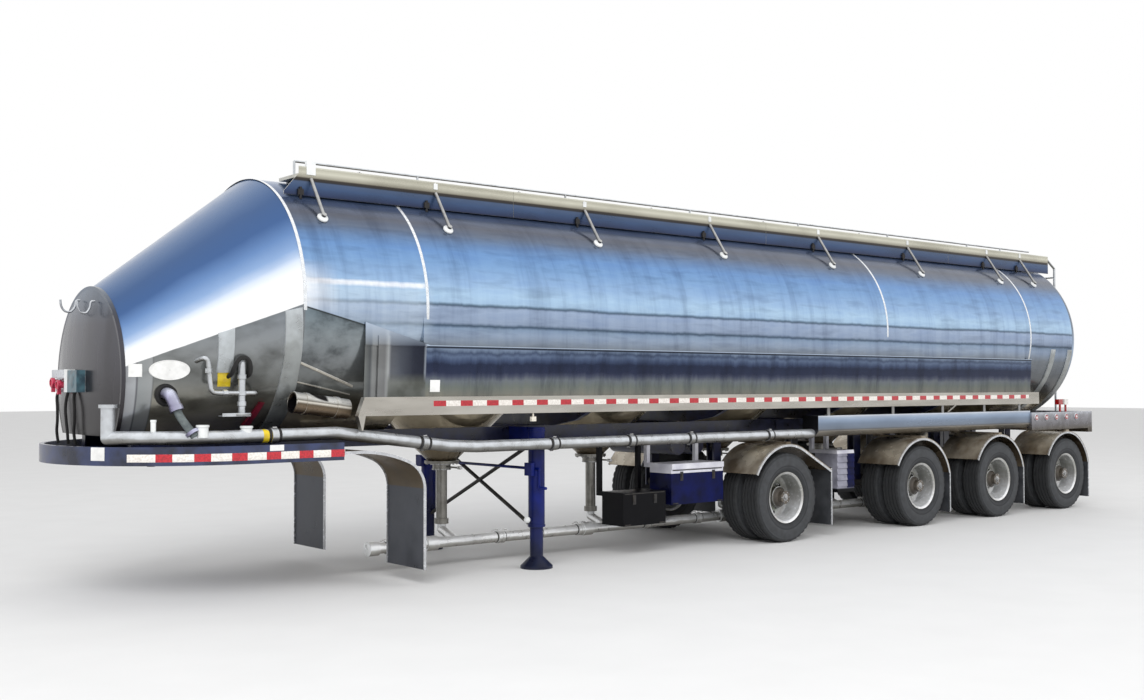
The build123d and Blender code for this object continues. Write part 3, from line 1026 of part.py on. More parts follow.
# Rear bumper: a box across the tail with a wing forward on each side
with BuildPart() as rear_bumper:
    block((BUMPER_REAR_X, BUMPER_REAR_X + BUMPER_DEPTH), (-BUMPER_OUTER_Y, BUMPER_OUTER_Y),
          (BUMPER_BOTTOM_Z, BUMPER_TOP_Z))
    for side_name, side in SIDES:
        block((BUMPER_REAR_X, TRAY_REAR_X), (side * (BUMPER_OUTER_Y - WING_THICKNESS), side * BUMPER_OUTER_Y),
              (BUMPER_BOTTOM_Z + WING_LIFT, BUMPER_TOP_Z))
        for y in TAIL_LAMP_YS:
            with BuildSketch(Plane.YZ.offset(BUMPER_REAR_X)) as pocket:
                with Locations((side * y, TAIL_LAMP_Z)):
                    Circle(TAIL_LAMP_RADIUS + RUNNING_GAP)
            extrude(pocket.sketch, amount=LAMP_DEPTH, mode=Mode.SUBTRACT)
rear_bumper.part.label = "rear_bumper"
export_step(rear_bumper.part, "parts/rear_bumper.step")

# Lamps: a row on each wing, two markers on stems above it, and three let into each end of the bumper
stem_y = MARKER_Y[1] - MARKER_STEM
with BuildPart() as lamps:
    for side_name, side in SIDES:
        for x in SIDE_LAMP_XS:
            rod((x, side * BUMPER_OUTER_Y, SIDE_LAMP_Z),
                (x, side * (BUMPER_OUTER_Y + LAMP_DEPTH), SIDE_LAMP_Z), SIDE_LAMP_RADIUS)
        for x in MARKER_XS:
            block((x - MARKER_LENGTH / 2, x + MARKER_LENGTH / 2),
                  (side * MARKER_Y[0], side * MARKER_Y[1]), MARKER_Z)
            upright(x, side * stem_y, (BUMPER_TOP_Z, MARKER_Z[0]), MARKER_STEM)
        for y in TAIL_LAMP_YS:
            rod((BUMPER_REAR_X, side * y, TAIL_LAMP_Z),
                (BUMPER_REAR_X + LAMP_DEPTH, side * y, TAIL_LAMP_Z), TAIL_LAMP_RADIUS)
lamps.part.label = "lamps"
export_step(lamps.part, "parts/lamps.step")

# Air tanks across the frame, between the second and the third hopper
air_tank_z = BEAM_BOTTOM_Z - FIT_GAP - AIR_TANK_RADIUS
air_tank_x = (HOPPERS[1] + HOPPERS[2]) / 2
with BuildPart() as air_tanks:
    for x in (air_tank_x - AIR_TANK_SPREAD, air_tank_x + AIR_TANK_SPREAD):
        rod((x, -AIR_TANK_LENGTH / 2, air_tank_z), (x, AIR_TANK_LENGTH / 2, air_tank_z), AIR_TANK_RADIUS)
air_tanks.part.label = "air_tanks"
export_step(air_tanks.part, "parts/air_tanks.step")

# Side boxes: a black one, a blue one with a lid and a louvred one, hung beside the frame on the left
louvre_pitch = (GRILLE_BOX[2][1] - GRILLE_BOX[2][0]) / LOUVRE_COUNT
grille_y = GRILLE_BOX[1][1]
with BuildPart() as side_boxes:
    hung_box(BLACK_BOX)
    hung_box(BLUE_BOX)
    block((BLUE_BOX[0][0], BLUE_BOX[0][1]), (BLUE_BOX[1][0], BLUE_BOX[1][1] + LOUVRE_DEPTH),
          (BLUE_BOX[2][1] - BLUE_BOX_LID, BLUE_BOX[2][1]))
    hung_box(GRILLE_BOX)
    for i in range(LOUVRE_COUNT):
        low_z = GRILLE_BOX[2][0] + i * louvre_pitch
        prism(Plane.YZ.offset(GRILLE_BOX[0][0]),
              ((grille_y, low_z), (grille_y + LOUVRE_DEPTH, low_z), (grille_y, low_z + louvre_pitch)),
              GRILLE_BOX[0][1] - GRILLE_BOX[0][0])
side_boxes.part.label = "side_boxes"
export_step(side_boxes.part, "parts/side_boxes.step")
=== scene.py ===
from math import cos, pi, radians, sin, sqrt
import bpy
from mathutils import Matrix, Vector


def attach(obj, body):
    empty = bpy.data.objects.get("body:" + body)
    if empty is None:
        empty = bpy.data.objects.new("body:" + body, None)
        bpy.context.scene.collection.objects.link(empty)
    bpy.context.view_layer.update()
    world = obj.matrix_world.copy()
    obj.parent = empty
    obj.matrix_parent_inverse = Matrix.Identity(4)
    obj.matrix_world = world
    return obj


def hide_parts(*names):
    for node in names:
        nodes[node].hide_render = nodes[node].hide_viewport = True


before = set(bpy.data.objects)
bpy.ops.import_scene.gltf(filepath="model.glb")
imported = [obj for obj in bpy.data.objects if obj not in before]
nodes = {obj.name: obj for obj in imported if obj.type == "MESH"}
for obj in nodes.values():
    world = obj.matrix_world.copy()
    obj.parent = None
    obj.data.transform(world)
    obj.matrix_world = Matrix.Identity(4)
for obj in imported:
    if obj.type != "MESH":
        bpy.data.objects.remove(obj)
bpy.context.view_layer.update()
SIDES = (1, -1)
SIDE_NAMES = {"left": 1, "right": -1}

# Sizes in metres: those of the solids, the pitch of the tape and the place of the storage tube
BARREL_RADIUS = 1.25
BARREL_AXIS_Z = 2.555
BARREL_FRONT_X = 5.8
NOSE_FRONT_X = 7.205
NOSE_RADIUS = 0.8
NOSE_AXIS_Z = 1.91
RAIL_Y = 1.262
AXLE_XS = {"lift": -0.485, "front": -3.168, "middle": -4.997, "rear": -6.826}
WHEEL_Z = 0.527
RIM_RADIUS = 0.302
TWIN_YS = (1.15, 0.81)
TAPE_PITCH = 0.3055
RAIL_FRONT_X = 4.482
COUPLER_X = 6.305
COUPLER_RADIUS = 1.28
RIM_REAR_X = 5.424
RIM_STRAIGHT = 0.881
AIR_PIPE_Y = 1.15
PRODUCT_Y, PRODUCT_Z = 0.35, 0.255
STORAGE_Y = 1.05
HOPPER_XS = (3.55, 1.485, -0.58, -2.645, -4.71)
MANHOLE_XS = (4.7, 2.725, 0.75, -1.225, -3.2)


# Node helpers

class Wire:
    """An output of a node. Plus, minus, times and divide add Math nodes to its material."""

    def __init__(self, paint, socket):
        self.paint = paint
        self.socket = socket

    def __add__(self, other):
        return self.paint.math("ADD", self, other)

    def __sub__(self, other):
        return self.paint.math("SUBTRACT", self, other)

    def __rsub__(self, other):
        return self.paint.math("SUBTRACT", other, self)

    def __mul__(self, other):
        return self.paint.math("MULTIPLY", self, other)

    def __truediv__(self, other):
        return self.paint.math("DIVIDE", self, other)


class Paint:
    """One procedural material: its node tree and its main shader."""

    def __init__(self, name, metallic=0, roughness=0.5, **more):
        self.material = bpy.data.materials.new(name)
        self.material.use_nodes = True
        self.tree = self.material.node_tree
        self.shader = self.tree.nodes["Principled BSDF"]
        for key, value in {"Metallic": metallic, "Roughness": roughness, **more}.items():
            self.shader.inputs[key.replace("_", " ")].default_value = value
        coords = self.tree.nodes.new("ShaderNodeTexCoord")
        self.point = coords.outputs["Object"]
        place = self.node("ShaderNodeSeparateXYZ", Vector=self.point)
        facing = self.node("ShaderNodeSeparateXYZ", Vector=coords.outputs["Normal"])
        self.x, self.y, self.z, self.nx, self.ny, self.nz = (Wire(self, out) for out in (*place.outputs,
            *facing.outputs))

    def node(self, kind, settings=None, **inputs):
        made = self.tree.nodes.new(kind)
        for key, value in (settings or {}).items():
            setattr(made, key, value)
        for key, value in inputs.items():
            self.feed(made.inputs[key], value)
        return made

    def feed(self, socket, value):
        """Links an output, or sets a number or a screen colour."""
        if isinstance(value, Wire):
            value = value.socket
        if isinstance(value, bpy.types.NodeSocket):
            self.tree.links.new(value, socket)
        elif isinstance(value, tuple):
            socket.default_value = (*linear(value), 1)
        else:
            socket.default_value = value

    def wire(self, made, values):
        """Feeds the first inputs of a node in order and gives its first output."""
        for socket, value in zip(made.inputs, values):
            self.feed(socket, value)
        return Wire(self, made.outputs[0])

    def math(self, operation, first, second=0):
        return self.wire(self.node("ShaderNodeMath", {"operation": operation}), (first, second))

    def reach(self, first, second):
        """Length of the line from the origin to a point."""
        return self.math("SQRT", first * first + second * second)

    def span(self, value, low, high, start=0, end=1):
        """Goes from start at low to end at high, and is held outside them."""
        return self.wire(self.node("ShaderNodeMapRange"), (value, low, high, start, end))

    def inside(self, value, low, high, soft=0.002):
        """1 between low and high, 0 outside."""
        return self.span(value, low - soft, low + soft) * self.span(value, high + soft, high - soft)

    def noise(self, scale, stretch=(1, 1, 1), detail=3, rough=0.5):
        moved = self.node("ShaderNodeMapping", Vector=self.point, Scale=Vector(stretch))
        made = self.node("ShaderNodeTexNoise", Vector=moved.outputs[0], Scale=scale, Detail=detail, Roughness=rough)
        return Wire(self, made.outputs[0])

    def ramp(self, value, *stops):
        """Colours at places from 0 to 1. A stop is (place, red, green, blue) or (place, grey)."""
        made = self.node("ShaderNodeValToRGB", Fac=value)
        elements = made.color_ramp.elements
        while len(elements) < len(stops):
            elements.new(0.5)
        for element, stop in zip(elements, stops):
            element.position = stop[0]
        for element, stop in zip(elements, stops):
            element.color = (*linear(stop[1:] if len(stop) == 4 else stop[1:] * 3), 1)
        return Wire(self, made.outputs[0])

    def mix(self, share, first, second, blend="MIX"):
        made = self.node("ShaderNodeMix", {"data_type": "RGBA", "blend_type": blend})
        for place, value in ((0, share), (6, first), (7, second)):
            self.feed(made.inputs[place], value)
        return Wire(self, made.outputs[2])

    def tint(self, share, base, patch, shade, clear):
        """Multiplies by a patchy shade, which is a ramp's first stop, up to white at clear."""
        return self.mix(share, base, self.ramp(patch, shade, (clear, 255)), "MULTIPLY")

    def finish(self, colour, patch=None, rough=None, height=None, strength=0, distance=0):
        """Links the colour, the roughness by patch between two values, and a bump."""
        self.feed(self.shader.inputs["Base Color"], colour)
        if rough:
            self.feed(self.shader.inputs["Roughness"], self.span(patch, 0.3, 0.7, *rough))
        if height:
            bump = self.node("ShaderNodeBump", Height=height, Strength=strength, Distance=distance)
            self.feed(self.shader.inputs["Normal"], bump.outputs[0])
        return self.material


def linear(colour):
    """A colour given as the screen shows it, 0 to 255, as the shader takes it."""
    return [c / 255 / 12.92 if c <= 10 else ((c / 255 + 0.055) / 1.055) ** 2.4 for c in colour]


def scaled(low, high, *stops):
    """Stops of a ramp given in metres, as places between low and high."""
    return [((stop[0] - low) / (high - low), *stop[1:]) for stop in stops]


# Materials

def mirror_barrel():
    """Polished sheet of the barrel: painted reflections of sky, tree line and ground lie on it as level bands, greyer
    under the walkway.
    """
    p = Paint("mirror_barrel", 0.6, 0.16)
    wave = p.noise(1.2, (0.5, 1, 1.4), 4)
    fine = p.noise(6, (0.35, 1, 2), 5)
    tall = p.noise(3.2, (1.6, 0.2, 0.16), 5, 0.65)
    height = p.z + (wave - 0.5) * 0.035 + (p.noise(9, (1, 0.2, 0.2), 6, 0.7) - 0.5) * 0.03
    low, high = 1, 3.82
    # painted reflections as level bands from the ground up to the sky, greyer under the walkway
    upper = scaled(low, high, (1, 58, 52, 44), (1.35, 88, 82, 70), (1.62, 120, 112, 96), (1.75, 96, 94, 88),
        (2, 92, 96, 100), (2.2, 116, 122, 128), (2.34, 146, 162, 184), (2.395, 136, 156, 180), (2.42, 60, 80, 100),
        (2.45, 146, 162, 186), (2.59, 158, 176, 202), (2.612, 58, 80, 100), (2.64, 168, 196, 222),
        (2.72, 174, 204, 230), (2.85, 150, 182, 218), (3.02, 126, 164, 208), (3.14, 112, 152, 202),
        (3.22, 104, 136, 178), (3.33, 100, 112, 132), (3.42, 92, 96, 108), (3.6, 84, 104, 140), (3.82, 104, 132, 172))
    sky = p.ramp(p.span(height, low, high), *upper)
    # painted highlights: a white streak along the front bay and glare by its front seam, and a paler painted
    # reflection over the bay
    streak = p.inside(height, 2.755, 2.8, 0.012) * p.inside(p.x, 4.55, 5.8, 0.05)
    sky = p.mix(streak * 0.9, sky, (250, 252, 255))
    bay = p.inside(p.x, 4.55, 5.85, 0.1) * p.inside(height, 2.28, 2.75, 0.03)
    sky = p.mix(bay * 0.45, sky, (196, 212, 226))
    glare = p.span(p.x, 5.45, 5.85) * p.inside(height, 2.55, 2.85, 0.12)
    sky = p.mix(glare, sky, (255, 255, 255))
    tint = p.ramp(fine, (0.3, 196, 198, 204), (0.5, 255), (0.7, 226, 232, 244))
    sky = p.mix(0.5, sky, tint, "MULTIPLY")
    # tall streaks: painted reflections of trees
    sky = p.mix(0.6, sky, p.ramp(tall, (0.3, 186, 190, 200), (0.48, 240, 242, 246), (0.6, 255)), "MULTIPLY")
    # below the slanting seam of the front bay the sheet mirrors the yard
    seam = p.z - (p.x * 0.2434 + (2.547 - 0.2434 * 5.795))
    pane = p.span(seam, 0.003, -0.003) * p.span(p.x, 4.53, 4.56)
    below = p.span(p.z, 1.78, 1.72) * p.span(p.x, 4.6, 4.5)
    yard = p.noise(2.3, (1, 1, 1.5), 5, 0.6)
    ground = p.ramp(p.span(p.z, 1.05, 2.5), (0, 112, 100, 82), (0.25, 168, 154, 130), (0.36, 196, 184, 160),
        (0.44, 120, 114, 100), (0.52, 118, 120, 118), (0.7, 130, 134, 138), (0.85, 138, 146, 152), (1, 120, 134, 144))
    ground = p.mix(0.8, ground, p.ramp(yard, (0.35, 104, 108, 106), (0.47, 220, 220, 216), (0.6, 255, 255, 250)),
        "MULTIPLY")
    # a dark line along the slanting seam: painted shade in its crease
    edge = p.inside(seam, -0.012, 0.002, 0.004)
    sky = p.mix(p.math("MAXIMUM", pane, below), sky, ground)
    sky = p.mix(edge * p.span(p.x, 4.53, 4.56), sky, (52, 58, 60))
    return p.finish(sky, fine, (0.1, 0.24), wave, 0.12, 0.01)


def mirror_nose():
    """Polished cone with painted reflections: deep sky above, a white painted highlight band over the seam, dull
    ground below.
    """
    p = Paint("mirror_nose", 0.6, 0.15)
    wave = p.noise(1.6, (1, 1, 1), 4)
    fine = p.noise(7, (0.6, 1, 1.6), 5)
    run = BARREL_FRONT_X - NOSE_FRONT_X
    along = p.x - BARREL_FRONT_X
    axis = along * ((BARREL_AXIS_Z - NOSE_AXIS_Z) / run) + BARREL_AXIS_Z
    radius = along * ((BARREL_RADIUS - NOSE_RADIUS) / run) + BARREL_RADIUS
    share = (p.z - axis) / radius + (wave - 0.5) * 0.1
    upper = p.ramp(share * 0.5 + 0.5, (0, 52, 50, 46), (0.5, 120, 124, 130), (0.58, 214, 224, 236),
        (0.66, 200, 216, 238), (0.71, 140, 170, 212), (0.77, 104, 138, 188), (0.83, 66, 98, 148), (0.91, 64, 94, 140),
        (1, 88, 116, 156))
    # the lower edge of the bright painted reflection slants down towards the head
    edge = p.x * -0.396 + (2.508 + 0.396 * 5.968)
    above = p.z + fine * 0.01 - edge
    # a white painted highlight just above the seam, fading upwards
    depth = p.span(p.x, 7.2, 5.8) * 0.26 + 0.16
    highlight_band = 1 - p.span(above / depth, 0.62, 1.05)
    upper = p.mix(highlight_band, upper, (255, 255, 255))
    ground = p.ramp(p.span(p.z, 1.05, 2.45), (0, 112, 98, 78), (0.25, 178, 168, 148), (0.36, 128, 124, 114),
        (0.46, 150, 147, 136), (0.6, 122, 124, 122), (0.75, 136, 139, 140), (1, 134, 140, 146))
    patch = p.noise(2.6, (1, 1, 1.6), 5)
    ground = p.mix(0.7, ground, p.ramp(patch, (0.35, 120, 118, 112), (0.5, 220, 220, 218), (0.62, 255)), "MULTIPLY")
    rim = p.ramp(p.span(p.x, 6.99, 7.2), (0, 96, 98, 98), (0.06, 160, 163, 164), (0.55, 150, 154, 155),
        (0.6, 92, 92, 98), (0.66, 170, 173, 176), (1, 158, 160, 164))
    ground = p.mix(p.span(p.x, 6.985, 6.995), ground, p.mix(0.3, rim, patch, "MULTIPLY"))
    return p.finish(p.mix(p.span(above, -0.004, 0.004), ground, upper), fine, (0.1, 0.24), wave, 0.12, 0.01)


def mirror_head(name="mirror_head", tone=(76, 76, 84), low=(40, 34, 30)):
    """Dull reflection on a dished head."""
    p = Paint(name, 0.55, 0.24)
    wave = p.noise(1.4, (1, 2.2, 0.5), 4)
    base = p.ramp(p.span(p.z, 1.1, 2.7), (0, *low), (0.45, 62, 60, 64), (0.8, *tone), (1, 100, 112, 128))
    base = p.tint(0.6, base, wave, (0.3, 150, 146, 148), 0.6)
    return p.finish(base, wave, (0.18, 0.32), p.noise(9), 0.06, 0.004)


def mirror_skirt():
    """Polished side sheets under the crease, with painted reflections: a dark tree line above a grey-green ground."""
    p = Paint("mirror_skirt", 0.6, 0.16)
    wave = p.noise(1.5, (0.6, 1, 1), 5)
    # jagged and tall streaks: painted reflections of trees
    jagged = p.noise(7, (1.4, 0.2, 0.25), 6, 0.7)
    tall = p.noise(3, (1.8, 0.2, 0.3), 5, 0.65)
    height = p.z + (wave - 0.5) * 0.05 + (jagged - 0.5) * 0.09
    low, high = 1.75, 2.42
    main = p.ramp(p.span(height, low, high), *scaled(low, high, (1.75, 128, 126, 116), (1.84, 112, 118, 112),
        (1.9, 110, 116, 122), (1.945, 70, 76, 96), (1.98, 40, 48, 74), (2.06, 34, 44, 70), (2.1, 66, 80, 110),
        (2.14, 96, 112, 140), (2.17, 72, 86, 112), (2.2, 118, 134, 158), (2.42, 170, 186, 204)))
    main = p.mix(0.7, main, p.ramp(tall, (0.32, 150, 156, 170), (0.5, 236, 238, 242), (0.64, 255)), "MULTIPLY")
    # painted shade in the crease, and a pale painted reflection above it
    main = p.mix(p.inside(p.z, 2.205, 2.222, 0.003), main, (44, 52, 66))
    main = p.mix(p.span(p.z, 2.222, 2.226), main, (176, 190, 208))
    # the raised sheet of the front bay: painted reflections in dark and pale bands
    raised = p.ramp(p.noise(2.4, (1, 1, 1.3), 4), (0.3, 78, 82, 86), (0.5, 124, 128, 132), (0.62, 160, 166, 168),
        (0.75, 108, 112, 118))
    bay = p.ramp(p.span(p.x, 4.56, 5.2), (0, 150, 156, 166), (0.03, 34, 38, 54), (0.2, 46, 50, 64),
        (0.42, 84, 88, 98), (0.6, 112, 114, 120), (0.64, 176, 178, 178), (0.7, 132), (0.88, 140, 141, 140),
        (0.92, 92, 94, 96), (1, 120, 122, 120))
    low_bay = p.ramp(p.noise(3, (1, 1, 1), 4), (0.35, 96, 98, 92), (0.6, 132, 134, 130))
    bay = p.mix(p.span(p.z, 1.97, 1.88) * p.span(p.x, 4.99, 4.96), bay, low_bay)
    bay = p.mix(0.5, bay, raised, "SOFT_LIGHT")
    main = p.mix(p.span(p.x, 4.545, 4.56) * p.span(p.z, 2.42, 2.2), main, bay)
    return p.finish(main, wave, (0.1, 0.24), wave, 0.1, 0.01)


def halfway(first, second):
    return [(a + b) // 2 for a, b in zip(first, second)]


def metal(name, up, level, down, rough=(0.2, 0.38), metallic=0.8, scale=7, dirt_and_reflection=0.35, tint=(150, 146, 140),
        stretch=(1, 1, 1)):
    """Bright sheet with a painted reflection: sky from above, the yard from the side and dark ground from below,
    under patchy darkening that is part grime and part painted reflection.
    """
    p = Paint(name, metallic, rough[0])
    patch = p.noise(scale, stretch, 5)
    # painted reflection, by which way the face points
    tilt = p.nz * 0.5 + 0.5 + (p.noise(scale * 0.6, stretch, 3) - 0.5) * 0.25
    base = p.ramp(tilt, (0, *down), (0.38, *halfway(down, level)), (0.5, *level), (0.72, *halfway(up, level)),
        (1, *up))
    # patchy darkening: part grime, part painted reflection
    base = p.tint(dirt_and_reflection, base, patch, (0.35, *tint), 0.6)
    return p.finish(base, patch, rough, p.noise(scale * 9, stretch, 2), 0.05, 0.001)


def enamel(name, main, shade, rough=(0.25, 0.45), coat=0.4, scale=9, grime=(120, 112, 100), grime_share=0.35):
    """Sprayed paint with a thin veil of road dirt, thicker low down."""
    p = Paint(name, 0, rough[0], Coat_Weight=coat, Coat_Roughness=0.15)
    patch = p.noise(scale, (1, 1, 1), 5)
    base = p.ramp(patch, (0.35, *shade), (0.6, *main))
    veil = p.span(p.z, 1.5, 0.1) * p.span(p.noise(scale * 2.2, (1, 1, 1), 6), 0.45, 0.75)
    return p.finish(p.mix(veil * grime_share, base, grime), patch, rough, p.noise(160), 0.04, 0.0006)


def rubber(name, main, dust, scale=12, rough=(0.7, 0.9)):
    p = Paint(name, 0, rough[0])
    patch = p.noise(scale, (1, 1, 1), 6)
    return p.finish(p.ramp(patch, (0.35, *main), (0.7, *dust)), patch, rough, p.noise(scale * 14), 0.15, 0.001)


def tyre_rubber(axle_x):
    """Worn tread and sidewall: the rings of the sidewall follow the wheel's radius."""
    p = Paint("tyre_rubber_" + str(round(abs(axle_x * 1000))), 0, 0.8)
    radius = p.reach(p.x - axle_x, p.z - WHEEL_Z)
    patch = p.noise(16, (1, 1, 1), 6)
    wall = p.ramp(p.span(radius, 0.3, 0.53), (0, 46, 47, 50), (0.25, 66, 68, 71), (0.32, 48, 49, 52),
        (0.36, 74, 76, 79), (0.8, 70, 72, 75), (0.86, 52, 54, 57), (0.92, 62, 64, 66), (1, 44, 45, 47))
    return p.finish(p.tint(0.6, wall, patch, (0.3, 150, 148, 146), 0.7), patch, (0.72, 0.92),
        p.noise(90, (1, 1, 1), 3), 0.2, 0.0012)


def rim_metal(axle_x):
    """Forged wheel: bright lip and dish under a painted reflection, painted shade in the hub recess, a painted glint,
    and a row of hand holes painted dark as shade.
    """
    p = Paint("rim_metal_" + str(round(abs(axle_x * 1000))), 0.25, 0.18)
    across = p.x - axle_x
    up = p.z - WHEEL_Z
    radius = p.reach(across, up)
    turn = p.math("ARCTAN2", up, across)
    sweep = p.math("COSINE", turn * 3)
    # by radius: bright lip and dish, and a darker hub recess as painted shade
    base = p.ramp(p.span(radius, 0.05, RIM_RADIUS), (0, 112, 104, 94), (0.22, 78, 72, 66), (0.3, 134, 134, 124),
        (0.42, 150, 156, 140), (0.55, 180, 186, 174), (0.7, 224, 226, 224), (0.8, 255), (0.9, 228, 230, 234),
        (1, 255))
    # painted reflection: bright sky on the lower half of the wheel, tan ground on the upper
    sky = p.ramp(up / RIM_RADIUS * -0.5 + 0.5, (0, 178, 178, 172), (0.3, 158, 158, 146), (0.5, 214, 214, 210),
        (0.64, 255), (1, 255))
    base = p.mix(p.span(radius, 0.1, 0.16), base, p.mix(0.75, base, sky, "MULTIPLY"))
    # a painted glint that sweeps round the wheel
    glint = p.ramp(sweep * 0.5 + 0.5, (0, 150, 146, 140), (0.5, 230), (1, 255))
    base = p.mix(0.5, base, glint, "MULTIPLY")
    # a ring of ten hand holes between the hub and the dish, painted dark as shade
    turns = p.math("FRACT", turn * (10 / (2 * pi)) + 0.5) - 0.5
    along = turns * (2 * pi / 10) * radius
    spread = p.reach(along, radius - 0.205)
    patch = p.noise(22, (1, 1, 1), 5)
    base = p.mix(p.span(spread, 0.024, 0.021), base, (34, 32, 30))
    return p.finish(p.tint(0.3, base, patch, (0.3, 168, 160, 148), 0.6), patch, (0.12, 0.3), p.noise(60), 0.05,
        0.0008)


def tape(name, pitch, start):
    """Reflective tape: white with red blocks at an even pitch along X."""
    p = Paint(name, 0.1, 0.35, Coat_Weight=0.5)
    place = p.math("FRACT", (start - p.x) / pitch)
    red = p.inside(place, 0, 0.46, 0.004)
    grain = p.noise(60, (1, 1, 1), 3)
    white = p.ramp(grain, (0.3, 214, 206, 198), (0.7, 246, 242, 236))
    block = p.ramp(grain, (0.3, 150, 22, 34), (0.7, 196, 34, 48))
    return p.finish(p.mix(red, white, block), height=p.noise(500), strength=0.1, distance=0.0003)


def lens(name, main, edge):
    p = Paint(name, 0, 0.18, Coat_Weight=0.8)
    grid = p.node("ShaderNodeTexVoronoi", Vector=p.point, Scale=90)
    return p.finish(p.ramp(grid.outputs[0], (0, *main), (0.7, *edge)), height=grid.outputs[0], strength=0.3,
        distance=0.001)


def walkway_look():
    """Beige tread above, a dark joint, and a fascia that mirrors the sky."""
    p = Paint("walkway_look", 0.45, 0.3)
    patch = p.noise(5, (0.3, 1, 1), 5)
    side = p.ramp(p.span(p.z, 3.59, 3.87), (0, 40, 46, 66), (0.08, 44, 58, 92), (0.3, 60, 82, 118),
        (0.48, 74, 92, 122), (0.52, 44, 44, 48), (0.6, 58, 52, 46), (0.64, 150, 146, 132), (0.8, 206, 204, 188),
        (0.92, 186, 184, 168), (1, 226, 226, 214))
    outer = p.mix(p.span(p.ny, 0.4, 0.6), (206, 205, 196), side)
    return p.finish(p.tint(0.45, outer, patch, (0.3, 170, 166, 160), 0.6), patch, (0.22, 0.45), p.noise(140), 0.08,
        0.001)


def quarter_look():
    """Bronze reflections under the arch, and a dark flap below the knee."""
    p = Paint("quarter_look", 0.5, 0.25)
    patch = p.noise(4, (1, 1, 1), 5)
    arch = p.ramp(p.nx * 0.5 + 0.5, (0, 150, 148, 146), (0.45, 128, 118, 104), (0.6, 112, 96, 72), (1, 88, 76, 58))
    arch = p.tint(0.6, arch, patch, (0.3, 150, 140, 126), 0.6)
    flap = p.ramp(patch, (0.3, 58, 61, 68), (0.7, 80, 83, 90))
    return p.finish(p.mix(p.span(p.z, 0.905, 0.895), arch, flap), patch, (0.25, 0.5), p.noise(80), 0.06, 0.001)


def tray_look():
    """Painted reflections: sky on the upper face of the tray, ground on its slanted lower edge; painted shade on its
    front end.
    """
    p = Paint("tray_look", 0.5, 0.2)
    patch = p.noise(4, (0.3, 1, 1), 5)
    side = p.ramp(p.span(p.z, 1.228, 1.48), (0, 76, 68, 58), (0.22, 146, 140, 128), (0.3, 96, 96, 98),
        (0.36, 116, 126, 140), (0.6, 122, 136, 156), (0.8, 150, 168, 192), (0.92, 176, 188, 206), (1, 224, 230, 238))
    # the front end, facing ahead, painted dark as shade
    side = p.mix(p.span(p.nx, 0.6, 0.9), side, (30, 30, 34))
    return p.finish(p.tint(0.4, side, patch, (0.3, 180, 180, 184), 0.6), patch, (0.16, 0.3), p.noise(60), 0.05, 0.001)


def well_look():
    """Painted shade: near-black for the inside seen through an open manhole."""
    p = Paint("well_shade", 0, 0.7, Specular_IOR_Level=0.15)
    patch = p.noise(9, (1, 1, 1), 4)
    return p.finish(p.ramp(patch, (0.35, 8, 8, 9), (0.65, 24, 24, 26)), patch, (0.6, 0.8))


def leg_look():
    """Deep blue enamel of the landing legs, greyer towards the shoe."""
    p = Paint("leg_enamel", 0, 0.35, Specular_IOR_Level=0.25)
    patch = p.noise(4, (1, 1, 1), 5)
    blue = p.ramp(patch, (0.35, 3, 14, 70), (0.65, 8, 26, 108))
    dusty = p.ramp(patch, (0.35, 22, 26, 44), (0.65, 34, 40, 66))
    return p.finish(p.mix(p.span(p.z, 0.75, 0.05), blue, dusty), patch, (0.25, 0.45), p.noise(120), 0.04, 0.0006)


def box_look():
    """A black box in front, a blue one with a pale lid, and a louvred one behind."""
    p = Paint("box_enamel", 0, 0.3, Specular_IOR_Level=0.12)
    patch = p.noise(4, (1, 1, 1), 5)
    blue = p.ramp(patch, (0.35, 6, 10, 40), (0.62, 12, 20, 76))
    black = p.ramp(patch, (0.35, 3, 3, 6), (0.62, 10, 10, 14))
    pale = p.ramp(patch, (0.35, 196, 196, 208), (0.62, 232, 232, 238))
    colour = p.mix(p.inside(p.x, 0.3, 1.2), black, blue)
    colour = p.mix(p.inside(p.x, 0.3, 1.2) * p.span(p.z, 0.866, 0.87), colour, pale)
    louvred = p.span(p.x, -1.69, -1.71) * p.span(p.z, 0.54, 0.56)
    grey = p.ramp(patch, (0.35, 120, 120, 132), (0.62, 168, 168, 182))
    colour = p.mix(louvred, colour, grey)
    colour = p.mix(louvred * p.span(p.x, -1.93, -1.94), colour, blue)
    return p.finish(p.mix(p.span(p.x, -1.69, -1.71) * p.span(p.z, 0.985, 0.99), colour, pale), patch, (0.25, 0.5),
        p.noise(120), 0.04, 0.0006)


def bumper_look():
    """Bright sheet with a painted reflection, and reflective tape across its back, above the lower edge."""
    p = Paint("bumper_sheet", 0.5, 0.25)
    patch = p.noise(8, (1, 1, 1), 5)
    # darker and browner low down, paler and bluer at the top: a painted reflection of ground and sky
    base = p.ramp(p.span(p.z, 1.13, 1.46), (0, 70, 60, 48), (0.2, 92, 86, 78), (0.45, 116, 114, 118),
        (0.8, 150, 150, 156), (1, 196, 200, 208))
    base = p.tint(0.4, base, patch, (0.35, 176, 170, 162), 0.6)
    place = p.math("FRACT", (p.y + 1.2) / 0.3048)
    stripe = p.mix(p.inside(place, 0, 0.5, 0.004), (236, 230, 224), (186, 28, 40))
    mask = p.span(p.nx, -0.8, -0.95) * p.inside(p.z, 1.165, 1.215)
    return p.finish(p.mix(mask, base, stripe), patch, (0.18, 0.36), p.noise(60), 0.05, 0.001)


